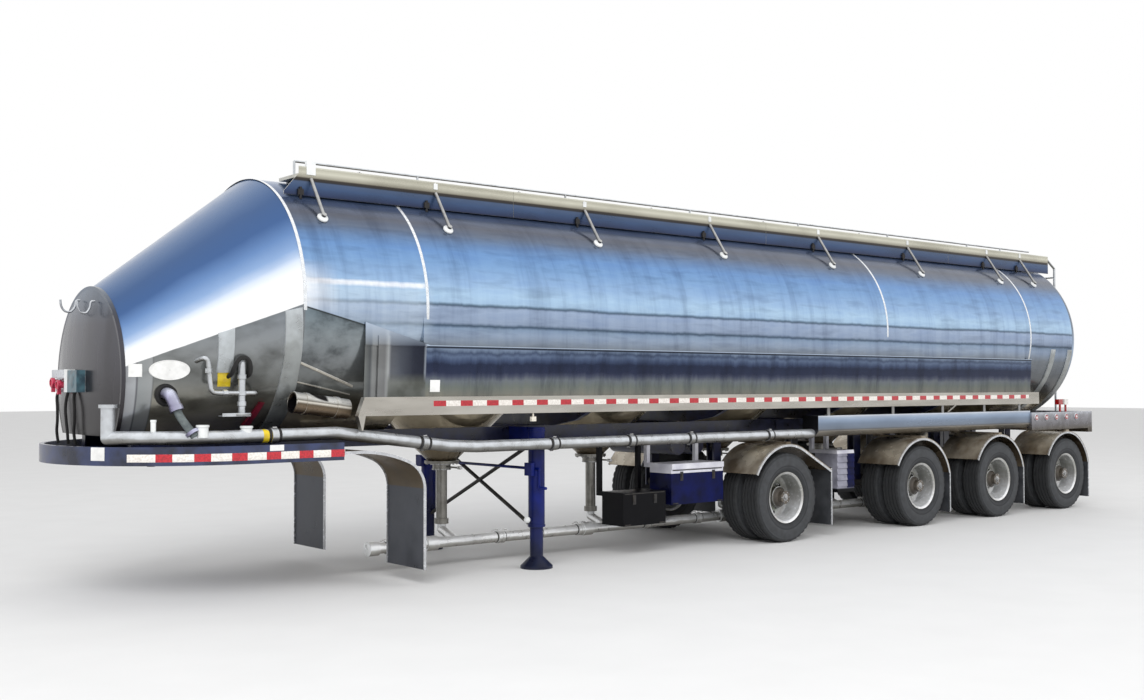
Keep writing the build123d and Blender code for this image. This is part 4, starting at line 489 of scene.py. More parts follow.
def lamp_look():
    """Red lenses. The rear marker of each pair is clear."""
    p = Paint("lamp_lenses", 0, 0.15, Coat_Weight=0.8)
    grid = p.node("ShaderNodeTexVoronoi", Vector=p.point, Scale=90)
    red = p.ramp(grid.outputs[0], (0, 206, 24, 28), (0.7, 134, 10, 16))
    clear = p.ramp(grid.outputs[0], (0, 250, 248, 244), (0.7, 206, 204, 200))
    marker = p.inside(p.x, -6.965, -6.835) * p.span(p.z, 1.555, 1.56)
    return p.finish(p.mix(marker, red, clear), height=grid.outputs[0], strength=0.3, distance=0.001)


BARREL = mirror_barrel()
NOSE = mirror_nose()
HEAD = mirror_head()
REAR_HEAD = mirror_head("mirror_rear", (150, 170, 196), (96, 92, 86))
SKIRT = mirror_skirt()
BRIGHT = metal("bright_sheet", (226, 236, 250), (214, 216, 216), (126, 118, 104))
RAIL = metal("rail_sheet", (246, 248, 250), (188, 184, 176), (84, 78, 68), dirt_and_reflection=0.25, stretch=(0.2, 1, 1))
PIPE = metal("pipe_satin", (236, 240, 246), (206, 210, 214), (96, 92, 84), (0.24, 0.42), 0.7, 11, 0.3)
# the product pipe's painted reflection is whiter and less metal than the other pipes', to lift it out of the barrel's
# shadow
PRODUCT = metal("product_satin", (255, 255, 255), (252, 254, 255), (132, 128, 120), (0.24, 0.42), 0.4, 11, 0.2)
TRAY = tray_look()
# the fenders' bronze patches are painted reflection
FENDER = metal("fender_sheet", (214, 206, 190), (156, 144, 126), (96, 82, 64), (0.16, 0.34), 0.45, 3, 0.75,
    (120, 100, 74))
QUARTER = quarter_look()
DECK = walkway_look()
HEADER = metal("cast_metal", (190, 190, 186), (150, 148, 142), (70, 66, 60), (0.3, 0.5), 0.7, 14)
BRACKET = metal("bracket_metal", (214, 214, 212), (150, 150, 150), (70, 68, 66), (0.3, 0.5), 0.6, 18)
BLUE = enamel("frame_enamel", (22, 28, 62), (12, 14, 34), grime=(70, 64, 56))
LEG_BLUE = leg_look()
COUPLER = enamel("coupler_enamel", (44, 56, 94), (22, 28, 48), scale=5)
DARK = enamel("dark_steel", (40, 38, 38), (26, 25, 26), (0.45, 0.7), 0)
BOXES = box_look()
RUBBER = rubber("black_rubber", (22, 22, 23), (44, 43, 42))
FLAP = rubber("flap_rubber", (52, 54, 58), (78, 80, 84), 5, (0.45, 0.7))
STEEL = metal("bare_steel", (120, 118, 116), (96, 94, 92), (60, 58, 56), (0.3, 0.5), 0.7, 20)
WHITE = enamel("white_enamel", (236, 238, 238), (214, 216, 216), (0.35, 0.5), 0.3, 6, grime_share=0.2)

LOOKS = {"tank_barrel": BARREL, "tank_nose": NOSE, "front_head": HEAD, "rear_head": REAR_HEAD, "side_skirts": SKIRT,
    "tank_bands": BRIGHT, "side_rails": RAIL, "air_pipe": PIPE, "product_pipe": PRODUCT, "nose_piping": PIPE,
    "hose_trays": TRAY, "tray_hangers": BRACKET, "wheel_fenders": FENDER, "quarter_fenders": QUARTER, "walkway": DECK,
    "walkway_brackets": BRACKET, "roof_rail": PIPE, "roof_vents": HEADER, "rear_ladder": PIPE,
    "manhole_collars": HEADER, "hopper_outlets": HEADER, "head_fittings": BRACKET, "upper_coupler": COUPLER,
    "kingpin": STEEL, "chassis_frame": BLUE, "crossmembers": BLUE, "suspension": BLUE, "trailing_arms": DARK,
    "axles": DARK, "air_springs": RUBBER, "air_tanks": BLUE, "landing_legs": LEG_BLUE, "leg_braces": DARK,
    "mud_flaps": FLAP, "rear_bumper": bumper_look(), "lamps": lamp_look(), "side_boxes": BOXES}
for number in range(1, 6):
    LOOKS[f"manhole_lid_{number}"] = HEADER
for axle, axle_x in AXLE_XS.items():
    rubber_look, rim_look = tyre_rubber(axle_x), rim_metal(axle_x)
    for side_name, side in SIDE_NAMES.items():
        LOOKS[f"tyres_{axle}_{side_name}"] = rubber_look
        LOOKS[f"rims_{axle}_{side_name}"] = rim_look
for name, node in nodes.items():
    if name not in LOOKS:
        print("no look for", name)
        continue
    node.data.materials.clear()
    node.data.materials.append(LOOKS[name])


# Shape helpers

def turns(count, offset=0):
    """Turns that divide a circle evenly, in radians."""
    return [2 * pi * (i + offset) / count for i in range(count)]


link = bpy.context.scene.collection.objects.link
AHEAD, UP = (1, 0, 0), (0, 0, 1)
BOX_FACES = ((0, 1, 3, 2), (4, 6, 7, 5), (0, 4, 5, 1), (2, 3, 7, 6), (0, 2, 6, 4), (1, 5, 7, 3))


class Form:
    """Collects the faces of one joined mesh."""

    def __init__(self):
        self.points = []
        self.faces = []

    def add(self, points, faces):
        start = len(self.points)
        self.points += [tuple(q) for q in points]
        self.faces += [tuple(start + i for i in face) for face in faces]

    def box(self, x, y, z):
        corners = [(a, b, c) for a in sorted(x) for b in sorted(y) for c in sorted(z)]
        self.add(corners, BOX_FACES)

    def turned(self, centre, axis, profile, steps=32, closed=True):
        """A profile of (radius, along) pairs turned about an axis through the centre."""
        axis = Vector(axis).normalized()
        side = axis.orthogonal().normalized()
        other = axis.cross(side)
        count = len(profile)
        points = [Vector(centre) + axis * along + (side * cos(turn) + other * sin(turn)) * radius
            for turn in turns(steps) for radius, along in profile]
        faces = []
        for step in range(steps):
            here, there = step * count, (step + 1) % steps * count
            faces += [(here + i, there + i, there + i + 1, here + i + 1) for i in range(count - 1)]
            if closed:
                faces.append((here + count - 1, there + count - 1, there, here))
        self.add(points, faces)

    def rod(self, start, end, radius, steps=14):
        """A solid round bar with its ends."""
        start, end = Vector(start), Vector(end)
        length = (end - start).length
        self.turned(start, end - start, ((0.0001, 0), (radius, 0), (radius, length), (0.0001, length)), steps, False)

    def ring(self, centre, axis, radii, halves, steps):
        """A band with bevelled edges: its inner and outer radius, and their half widths."""
        (inner, outer), (wide, narrow) = radii, halves
        self.turned(centre, axis, ((inner, -wide), (outer, -narrow), (outer, narrow), (inner, wide)), steps)

    def head(self, centre, axis, radii, levels, steps=6):
        """A bolt head: its radius and that of its top, and the levels of its foot, its bevel and its top."""
        (radius, top), (foot, bevel, end) = radii, levels
        self.turned(centre, axis, ((radius, foot), (radius, bevel), (top, end), (0.0001, end)), steps, False)

    def strip(self, lines):
        """Faces between neighbouring lines of points."""
        count = len(lines[0])
        points = [q for line in lines for q in line]
        self.add(points, [(r * count + i, r * count + i + 1, (r + 1) * count + i + 1, (r + 1) * count + i)
            for r in range(len(lines) - 1) for i in range(count - 1)])

    def tube(self, route, radius, steps=12, parts=6):
        """A round bar along a smooth line through the points of its route."""
        route = [Vector(q) for q in route]
        ends = [route[0] * 2 - route[1], *route, route[-1] * 2 - route[-2]]
        line = []
        for before, here, there, after in zip(ends, ends[1:], ends[2:], ends[3:]):
            for t in (i / parts for i in range(parts)):
                line.append((here * 2 + (there - before) * t + (before * 2 - here * 5 + there * 4 - after) * t ** 2
                    + (here * 3 - before - there * 3 + after) * t ** 3) * 0.5)
        line.append(route[-1])
        side = (line[1] - line[0]).orthogonal().normalized()
        points, faces = [], []
        for i, q in enumerate(line):
            along = (line[min(i + 1, len(line) - 1)] - line[max(i - 1, 0)]).normalized()
            side = (side - along * side.dot(along)).normalized()
            other = along.cross(side)
            points += [q + (side * cos(turn) + other * sin(turn)) * radius for turn in turns(steps)]
        for i in range(len(line) - 1):
            for step in range(steps):
                here, there = i * steps + step, i * steps + (step + 1) % steps
                faces.append((here, there, there + steps, here + steps))
        faces.append(tuple(range(steps))[::-1])
        faces.append(tuple(range((len(line) - 1) * steps, len(line) * steps)))
        self.add(points, faces)

    def bent(self, centre, reach, radii, y, steps):
        """A bar of square section bent round a centre given as (x, z), between two turns in degrees."""
        rows = []
        for i in range(steps + 1):
            turn = radians(reach[0] + (reach[1] - reach[0]) * i / steps)
            rows.append([(centre[0] + r * cos(turn), side_y, centre[1] + r * sin(turn))
                for r, side_y in ((radii[0], y[0]), (radii[0], y[1]), (radii[1], y[1]), (radii[1], y[0]),
                (radii[0], y[0]))])
        self.strip(rows)
        self.add(rows[0][:4], ((0, 1, 2, 3),))
        self.add(rows[-1][:4], ((3, 2, 1, 0),))

    def make(self, name, material, body="trailer", slot="sheet_aluminium", smooth=30, replaces=()):
        mesh = bpy.data.meshes.new(name)
        mesh.from_pydata(self.points, [], self.faces)
        mesh.validate()
        made = bpy.data.objects.new(name, mesh)
        link(made)
        mesh.materials.append(material)
        if smooth:
            mesh.shade_smooth()
            mesh.set_sharp_from_angle(angle=radians(smooth))
        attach(made, body)
        if replaces:
            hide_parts(*replaces)
        return made


# Weld rings round the barrel, bright and a little proud
rings = Form()
for x in (5.8, 4.537, -2.492, -5.921):
    lines = []
    for x_off, lift in ((-0.016, 0.0004), (-0.012, 0.003), (0.012, 0.003), (0.016, 0.0004)):
        low, high = (-2, 182) if x == BARREL_FRONT_X else (-15, 195)
        lines.append([(x + x_off, (BARREL_RADIUS + lift) * cos(radians(turn)), BARREL_AXIS_Z + (BARREL_RADIUS + lift)
            * sin(radians(turn))) for turn in [low + (high - low) * i / 90 for i in range(91)]])
    rings.strip(lines)
WELD = metal("weld_ring", (250, 252, 255), (236, 240, 244), (190, 190, 186), (0.2, 0.35), 0.6, 30, 0.2)
rings.make("weld_rings", WELD)

# Reflective tape on the side rails
strips = Form()
for side in SIDES:
    strips.box((RAIL_FRONT_X, -5.823), (side * RAIL_Y, side * (RAIL_Y + 0.0015)), (1.66, 1.712))
strips.make("rail_tape", tape("rail_tape", TAPE_PITCH, RAIL_FRONT_X), smooth=0)


# Straps, plates and bars that lie on the body, their edges just above its skin
ON_SKIN = 0.0006


def skin_y(x, z, lift=0):
    """Half width of the body at a height: the barrel behind its front seam, the cone before it."""
    share = max(0, (x - BARREL_FRONT_X) / (NOSE_FRONT_X - BARREL_FRONT_X))
    axis = BARREL_AXIS_Z + (NOSE_AXIS_Z - BARREL_AXIS_Z) * share
    radius = BARREL_RADIUS + (NOSE_RADIUS - BARREL_RADIUS) * share + lift
    return sqrt(max(radius ** 2 - (z - axis) ** 2, 0))


def lay(form, side, front, rear, lift, steps=20):
    """A flat bar on the body between two edges, each given as its (x, z) at the top and at the bottom."""
    rows = []
    for i in range(-1, steps + 2):
        t = min(max(i / steps, 0), 1)
        a, b = ([line[0][k] + (line[1][k] - line[0][k]) * t for k in (0, 1)] for line in (front, rear))
        row = []
        for share, up in ((0, ON_SKIN), (0.024, lift * 0.8), (0.06, lift), (0.94, lift), (0.976, lift * 0.8),
                (1, ON_SKIN)):
            x, z = a[0] + (b[0] - a[0]) * share, a[1] + (b[1] - a[1]) * share
            row.append((x, side * skin_y(x, z, ON_SKIN if i in (-1, steps + 1) else up), z))
        rows.append(row)
    form.strip(rows)


STRAP = metal("strap_sheet", (226, 232, 238), (196, 202, 206), (120, 122, 118), (0.24, 0.4), 0.5, 9, 0.3)
straps = Form()
for side in SIDES:
    lay(straps, side, ((5.966, 2.5), (5.934, 1.47)), ((5.826, 2.535), (5.748, 1.47)), 0.014)
    lay(straps, side, ((6.5, 2.3), (6.5, 1.965)), ((6.367, 2.345), (6.367, 1.965)), 0.014)
    for rear_x in (-6.61, -7.085):
        lay(straps, side, ((rear_x + 0.12, 2.385), (rear_x + 0.12, 1.44)), ((rear_x, 2.385), (rear_x, 1.44)), 0.014)
straps.make("tank_straps", STRAP, replaces=("tank_bands",))

bars = Form()
for side in SIDES:
    for x, z, low_z, wide in ((5.823, 2.064, 1.846, 0.026), (5.823, 1.895, 1.772, 0.014)):
        rows = []
        for i in range(21):
            place = x + (5.212 - x) * i / 20
            middle = z + (low_z - z) * i / 20
            rows.append([(place, side * skin_y(place, middle + off, up), middle + off)
                for off, up in ((wide / 2, ON_SKIN), (wide * 0.3, 0.01), (-wide * 0.3, 0.01), (-wide / 2, ON_SKIN))])
        bars.strip(rows)
bars.make("belly_bars", metal("bar_sheet", (255, 255, 252), (236, 234, 226), (160, 154, 142), (0.18, 0.3), 0.3, 9,
    0.2))

# Storage tube along the belly, open in front
store = Form()
for side in SIDES:
    start, end = Vector((5.823, side * STORAGE_Y, 1.711)), Vector((5.27, side * STORAGE_Y, 1.64))
    length = (end - start).length
    store.turned(start, end - start, ((0.08, 0.002), (0.092, 0), (0.097, 0.006), (0.094, 0.02),
        (0.092, length - 0.01), (0.08, length), (0.0001, length)), 32, False)
    store.turned(start, end - start, ((0.08, 0.002), (0.08, 0.3), (0.0001, 0.3)), 32, False)
    for x, z in ((5.7, 1.695), (5.4, 1.657)):
        store.ring((x, side * STORAGE_Y, z), end - start, (0.093, 0.099), (0.02, 0.02), 32)


def tube_look():
    """Rolled tube: two painted highlight lines above, a painted reflection of brown ground below, and black painted
    shade inside.
    """
    p = Paint("tube_look", 0.5, 0.22)
    # painted highlights and reflection, by which way the face points
    tall = p.span(p.nz * 0.5 + 0.5, 0, 1)
    base = p.ramp(tall, (0, 62, 48, 36), (0.3, 120, 104, 84), (0.46, 98, 86, 70), (0.56, 228, 224, 214),
        (0.62, 120, 116, 108), (0.72, 206, 206, 202), (0.84, 248, 248, 244), (1, 196, 200, 204))
    patch = p.noise(6, (0.4, 1, 1), 5)
    base = p.tint(0.4, base, patch, (0.3, 168, 160, 150), 0.6)
    # black inside the open front end: painted shade
    spread = p.reach(p.math("ABSOLUTE", p.y) - STORAGE_Y, p.z - 1.7)
    return p.finish(p.mix(p.span(spread, 0.086, 0.083) * p.span(p.x, 5.5, 5.52), base, (26, 24, 26)), patch,
        (0.18, 0.36), p.noise(70), 0.05, 0.001)


store.make("storage_tubes", tube_look())

# Plates with nothing on them: an oval, white squares and yellow labels
PLATE = enamel("plate_enamel", (240, 240, 238), (222, 222, 220), (0.3, 0.45), 0.5, 12, grime_share=0.1)
YELLOW = enamel("yellow_enamel", (232, 204, 30), (206, 176, 20), (0.3, 0.45), 0.4, 20, grime_share=0.1)
plates, oval, labels = Form(), Form(), Form()
for side in SIDES:
    rows = []
    for share, lift in ((0.02, 0.006), (0.6, 0.006), (0.9, 0.006), (0.93, 0.009), (0.98, 0.009), (1, 0.001)):
        line = [(6.87 + 0.16 * share * cos(turn), 1.985 + 0.085 * share * sin(turn)) for turn in (*turns(40), 2 * pi)]
        rows.append([(x, side * skin_y(x, z, lift), z) for x, z in line])
    oval.strip(rows)
    lay(plates, side, ((7.181, 2.035), (7.183, 1.928)), ((7.078, 2.035), (7.078, 1.928)), 0.004, steps=4)
    lay(labels, side, ((6.488, 1.968), (6.474, 1.846)), ((6.378, 1.968), (6.364, 1.846)), 0.006, steps=4)
    plates.box((6.013, 6.143), (side * 1.2802, side * 1.2822), (1.3, 1.35))
oval.make("blank_oval", PLATE)
plates.make("blank_plates", PLATE, smooth=0)
labels.make("blank_labels", YELLOW)
squares = Form()
for side in SIDES:
    outer = {z: 1.3 - nodes["side_skirts"].ray_cast(Vector((4.45, side * 1.3, z)),
        Vector((0, -side, 0)))[1][1] * side for z in (1.794, 1.906)}
    squares.add([(x, side * (1.3 - outer[z] + lift), z) for lift in (0.0002, 0.003) for x in (4.391, 4.5)
        for z in (1.794, 1.906)], BOX_FACES)
    rows = [[(COUPLER_X + reach * cos(turn), side * reach * sin(turn), z) for turn in (radians(29.5 + 1.2 * i)
        for i in range(6))] for reach, z in ((1.2801, 1.238), (1.2825, 1.242), (1.2825, 1.344), (1.2801, 1.348))]
    squares.strip(rows)
squares.make("blank_squares", PLATE)

# White tape with red blocks on the coupler's rim, from its rear end to half way round each front corner
RIM_TAPE_WHITE = enamel("tape_white", (244, 240, 234), (220, 212, 204), (0.3, 0.45), 0.5, 60, grime_share=0.2)
RIM_TAPE_RED = enamel("tape_red", (200, 32, 48), (158, 22, 36), (0.3, 0.45), 0.5, 60, grime_share=0.2)


def rim_point(place, side, reach, z):
    """A point on the coupler's rim, by its distance from the rim's rear end."""
    if place <= RIM_STRAIGHT:
        return (RIM_REAR_X + place, side * reach, z)
    turn = pi / 2 - (place - RIM_STRAIGHT) / COUPLER_RADIUS
    return (COUPLER_X + reach * cos(turn), side * reach * sin(turn), z)


def rim_tape(form, side, start, end, lift):
    steps = max(2, round((end - start) / 0.04))
    rows = [[rim_point(start + (end - start) * i / steps, side, reach, z) for i in range(steps + 1)]
        for reach, z in ((1.2801, 1.228), (COUPLER_RADIUS + lift, 1.23), (COUPLER_RADIUS + lift, 1.29),
        (1.2801, 1.292))]
    form.strip(rows)


white_tape, red_tape = Form(), Form()
for side in SIDES:
    rim_tape(white_tape, side, 0, 1.9, 0.0012)
    for i in range(6):
        rim_tape(red_tape, side, TAPE_PITCH * i + 0.004, TAPE_PITCH * i + 0.138, 0.002)
white_tape.make("coupler_tape_white", RIM_TAPE_WHITE)
red_tape.make("coupler_tape_red", RIM_TAPE_RED)

# Piping on the nose
elbow, collar, branch, drain = Form(), Form(), Form(), Form()
elbow.tube(((6.885, 0.8, 1.79), (6.885, 0.9, 1.787), (6.882, 0.965, 1.765), (6.868, 1.005, 1.7),
    (6.855, 1.02, 1.655)), 0.052, 20)
drain.tube(((6.858, 1.018, 1.665), (6.838, 1.05, 1.6), (6.8, 1.1, 1.52), (6.765, 1.135, 1.462), (6.75, 1.15, 1.43)),
    0.034, 18)
collar_line = [(6.885 + 0.078 * cos(turn), 0.872, 1.778 + 0.078 * sin(turn)) for turn in (*turns(16), 2 * pi)]
collar.tube(collar_line, 0.02, 10, 2)
for start, end in (((6.862, 1.012, 1.685), (6.852, 1.026, 1.645)), ((6.772, 1.128, 1.475), (6.76, 1.14, 1.452))):
    elbow.rod(start, end, 0.057, 20)
# branch with its hooked end, a small valve, and a level run back into the cone
branch.tube(((6.665, 0.95, 2.06), (6.65, 1.02, 2.078), (6.632, 1.07, 2.082), (6.612, 1.085, 2.05), (6.6, 1.085, 1.95),
    (6.59, 1.085, 1.86), (6.578, 1.085, 1.812), (6.54, 1.085, 1.793), (6.4, 1.085, 1.79), (6.24, 1.085, 1.79),
    (6.185, 1.07, 1.789), (6.165, 1.02, 1.788), (6.16, 0.95, 1.788)), 0.02, 12)
branch.rod((6.31, 1.085, 1.622), (6.31, 1.085, 2.045), 0.03, 20)
branch.turned((6.31, 1.085, 2.045), UP, ((0.03, 0), (0.027, 0.012), (0.016, 0.022), (0.0001, 0.024)), 20, False)
for z in (1.7, 1.79, 1.93):
    branch.ring((6.31, 1.085, z), UP, (0.028, 0.038), (0.022, 0.018), 20)
branch.turned((6.31, 1.085, 1.6), UP, ((0.0001, 0), (0.078, 0), (0.08, 0.004), (0.08, 0.016), (0.076, 0.02),
    (0.0001, 0.02)), 28, False)
branch.box((6.245, 6.5), (1.045, 1.125), (1.594, 1.603))
branch.box((6.245, 6.5), (1.119, 1.125), (1.603, 1.622))
for place in ((6.605, 1.085, 1.98), (6.46, 1.085, 1.7915)):
    branch.ring(place, UP if place[0] > 6.5 else AHEAD, (0.018, 0.03), (0.02, 0.018), 6)
branch.make("nose_branch", PIPE, slot="pipe_aluminium", replaces=("nose_piping",))
elbow.make("nose_elbow", metal("elbow_satin", (226, 230, 248), (168, 166, 196), (84, 80, 96), (0.2, 0.36), 0.6, 12),
    slot="pipe_aluminium")
collar.make("nose_ring", RUBBER, slot="black_rubber")
drain.make("nose_drain", rubber("grey_rubber", (74, 82, 84), (112, 120, 120), 20, (0.4, 0.6)), slot="grey_rubber")
arch = Form()
arch.tube(((6.395, 0.99, 1.93), (6.392, 1.06, 1.955), (6.385, 1.1, 2.01), (6.35, 1.115, 2.075), (6.305, 1.12, 2.092),
    (6.262, 1.115, 2.07), (6.238, 1.1, 2.01), (6.232, 1.07, 1.955), (6.23, 1, 1.93)), 0.019, 12)
arch.make("stack_loop", RUBBER, slot="black_rubber")
red = Form()
lay(red, 1, ((6.15, 1.5), (6.075, 1.712)), ((6.08, 1.492), (6.03, 1.706)), 0.03, steps=8)
red.make("red_flag", enamel("maroon_enamel", (120, 24, 44), (84, 16, 32), (0.3, 0.5), 0.3, 14), slot="lamp_red")
fittings = Form()
for x, z, height in ((6.685, 1.424, 0.105), (6.296, 1.424, 0.09), (7.035, 1.424, 0.15)):
    reach = 0.048 if height < 0.14 else 0.022
    fittings.turned((x, AIR_PIPE_Y if x < 7 else 0.98, z), UP, ((0.0001, 0), (reach, 0), (reach, height - 0.02),
        (reach * 1.15, height - 0.018), (reach * 1.15, height - 0.002), (reach, height), (0.0001, height)), 24, False)
fittings.make("pipe_stubs", WHITE, slot="pipe_aluminium")
band = Form()
band.rod((6.161, AIR_PIPE_Y, 1.4235), (6.06, AIR_PIPE_Y, 1.4225), 0.0585, 32)
band.make("yellow_band", YELLOW, slot="pipe_aluminium")

# Fittings on the front head
HOOK = metal("hook_steel", (236, 240, 244), (206, 210, 216), (120, 120, 124), (0.2, 0.34), 0.6, 20, 0.2)
hooks = Form()
for y, reach, drop in ((-0.13, 0.136, 2.502), (0.25, 0.118, 2.474)):
    hooks.tube(((7.27, y, drop + 0.105), (7.3, y, drop + 0.098), (7.312, y, drop + 0.045),
        (7.302 + reach * 0.3, y, drop + 0.006), (7.302 + reach * 0.5, y, drop),
        (7.302 + reach * 0.75, y, drop + 0.01), (7.302 + reach * 0.94, y, drop + 0.05),
        (7.302 + reach, y, drop + 0.105)), 0.0095, 12)
hooks.make("hose_hooks", HOOK, slot="bare_steel", replaces=("head_fittings",))
box_form, teal, sockets, lines, bar = Form(), Form(), Form(), Form(), Form()
box_form.box((7.292, 7.308), (-0.63, 0.14), (1.8, 1.99))
box_form.box((7.308, 7.345), (-0.64, -0.255), (1.926, 2))
for y in (-0.61, -0.275, -0.23, 0.12):
    for z in (1.82, 1.975):
        box_form.head((7.308, y, z), AHEAD, (0.009, 0.006), (-0.001, 0.006, 0.008))
teal.box((7.308, 7.382), (-0.1, 0.14), (1.8, 1.99))
teal.head((7.3825, 0.02, 1.895), AHEAD, (0.062, 0.056), (-0.002, 0, 0.0015), 28)
bar.box((7.308, 7.375), (-0.204, -0.119), (1.8, 2))
for y, z in ((-0.56, 1.885), (-0.4, 1.865)):
    sockets.turned((7.3, y, z), AHEAD, ((0.02, 0), (0.03, 0.02), (0.03, 0.045), (0.044, 0.048), (0.046, 0.074),
        (0.036, 0.08), (0.028, 0.08), (0.026, 0.066), (0.0001, 0.066)), 24, False)
    sockets.box((7.34, 7.372), (y - 0.012, y + 0.012), (z - 0.085, z - 0.03))
for y, sway in ((-0.52, 0.03), (-0.25, -0.02), (-0.06, 0.025)):
    lines.tube(((7.315, y, 1.825), (7.335, y, 1.76), (7.34, y + sway, 1.66), (7.335, y + sway * 0.6, 1.55),
        (7.33, y - sway * 0.4, 1.45), (7.32, y, 1.345)), 0.013, 10)
box_form.make("head_box", HOOK, slot="bare_steel", smooth=20)
bar.make("head_bar", WHITE, slot="bare_steel", smooth=0)
teal.make("head_case", enamel("teal_enamel", (70, 104, 116), (44, 66, 78), (0.3, 0.5), 0.3, 16), slot="box_blue",
    smooth=20)
sockets.make("head_sockets", enamel("red_enamel", (204, 64, 92), (160, 36, 60), (0.3, 0.5), 0.4, 30), slot="lamp_red")
lines.make("head_lines", RUBBER, slot="black_rubber")

# Tyres with ribs, grooves and shoulder lugs
WALL = ((0.2885, 0.098), (0.3, 0.104), (0.318, 0.112), (0.345, 0.124), (0.352, 0.1285), (0.358, 0.1275),
    (0.385, 0.135), (0.415, 0.139), (0.445, 0.1365), (0.47, 0.131), (0.488, 0.127), (0.492, 0.129), (0.512, 0.123),
    (0.52, 0.117), (0.5245, 0.108))
TREAD = ((0.525, 0.079), (0.5125, 0.077), (0.5125, 0.069), (0.5258, 0.067), (0.5265, 0.031), (0.513, 0.029),
    (0.513, 0.021), (0.527, 0.019))
HALF = WALL + TREAD
SECTION = HALF + tuple((r, -a) for r, a in reversed(HALF))
LUG_STEPS = 120
NUT_CIRCLE = 0.1675
CAP_CIRCLE = 0.062
CAP_Y = 1.245


def tyre(form, x, y, side):
    count = len(SECTION)
    points, faces = [], []
    for step in range(LUG_STEPS):
        turn = 2 * pi * step / LUG_STEPS
        for r, a in SECTION:
            if step % 3 == 2 and abs(a) > 0.1 and r > 0.505:
                r -= 0.011
            points.append((x + r * cos(turn), side * (y + a), WHEEL_Z + r * sin(turn)))
    for step in range(LUG_STEPS):
        here, there = step * count, (step + 1) % LUG_STEPS * count
        faces += [(here + i, there + i, there + (i + 1) % count, here + (i + 1) % count) for i in range(count)]
    form.add(points, faces)


NUT = metal("nut_steel", (224, 226, 228), (168, 168, 168), (84, 82, 80), (0.2, 0.36), 0.6, 30, 0.3)
for axle, axle_x in AXLE_XS.items():
    for side_name, side in SIDE_NAMES.items():
        wheel = f"wheel_{axle}_{side_name}"
        pair = Form()
        for y in TWIN_YS:
            tyre(pair, axle_x, y, side)
        pair.make(f"treads_{axle}_{side_name}", LOOKS[f"tyres_{axle}_{side_name}"], wheel, "tyre", 40,
            (f"tyres_{axle}_{side_name}",))
        nuts = Form()
        out = (0, side, 0)
        for turn in turns(10, 0.5):
            place = (axle_x + NUT_CIRCLE * cos(turn), side * 1.002, WHEEL_Z + NUT_CIRCLE * sin(turn))
            nuts.turned(place, out, ((0.024, -0.001), (0.024, 0.005), (0.0185, 0.007), (0.0185, 0.03), (0.014, 0.034),
                (0.0001, 0.034)), 6, False)
            nuts.head(place, out, (0.0095, 0.007), (0.03, 0.052, 0.055), 10)
        for turn in turns(6):
            place = (axle_x + CAP_CIRCLE * cos(turn), side * CAP_Y, WHEEL_Z + CAP_CIRCLE * sin(turn))
            nuts.head(place, out, (0.008, 0.006), (-0.001, 0.005, 0.007))
        nuts.turned((axle_x, side * CAP_Y, WHEEL_Z), out, ((0.044, -0.001), (0.042, 0.004), (0.026, 0.006),
            (0.024, 0.014), (0.0001, 0.016)), 24, False)
        nuts.turned((axle_x, side * 1.15, WHEEL_Z), out, ((0.119, -0.012), (0.124, -0.01), (0.124, -0.002),
            (0.119, 0)), 40)
        # the valve stem leans out of the dish
        nuts.rod((axle_x + 0.236, side * 1.03, WHEEL_Z + 0.02), (axle_x + 0.222, side * 1.11, WHEEL_Z + 0.02), 0.006,
            8)
        nuts.make(f"nuts_{axle}_{side_name}", NUT, wheel, "polished_rim")

# Bright rolled edges of the fenders and flaps
EDGE = metal("edge_strip", (232, 236, 242), (204, 206, 210), (140, 138, 134), (0.18, 0.32), 0.6, 18, 0.25)
edges = Form()
for axle, axle_x in AXLE_XS.items():
    for side in SIDES:
        last, tail = (118, 0.568) if axle == "lift" else (166, 0)
        edges.bent((axle_x, WHEEL_Z), (28, last), (0.602, 0.6365), (side * 1.29, side * 1.2995), 40)
        edges.bent((axle_x, WHEEL_Z), (28, last), (0.612, 0.6362), (side * 0.665, side * 0.671), 24)
        turn = radians(last)
        run = (-sin(turn) * tail, cos(turn) * tail)
        if tail:
            rows = [[(axle_x + r * cos(turn) + run[0] * share, side * y, WHEEL_Z + r * sin(turn) + run[1] * share)
                for r, y in ((0.602, 1.29), (0.602, 1.2995), (0.6365, 1.2995), (0.6365, 1.29), (0.602, 1.29))]
                for share in (0, 1)]
            edges.strip(rows)
        flap_x = axle_x + 0.636 * cos(turn) + run[0]
        flap_top = WHEEL_Z + 0.636 * sin(turn) + run[1] + 0.02
        edges.box((flap_x - 0.013, flap_x + 0.004), (side * 1.279, side * 1.2895), (0.152, flap_top))
        edges.box((flap_x - 0.0125, flap_x - 0.0078), (side * 0.68, side * 1.279), (flap_top - 0.032, flap_top))
for side in SIDES:
    for y in ((1.277, 1.2855), (0.6245, 0.632)):
        y = tuple(side * v for v in y)
        edges.bent((5.28, -0.0688), (90, 112.9), (1.3408 - 0.026, 1.3412), y, 10)
        edges.bent((4.875, 0.89), (112.9, 180), (0.274, 0.3004), y, 14)
        edges.box((4.5746, 4.601), y, (0.15, 0.89))
        edges.box((5.28, 5.428), y, (1.2464, 1.2722))
    edges.box((4.5742, 4.5752), (side * 0.64, side * 1.27), (0.16, 0.19))
edges.make("fender_edges", EDGE)


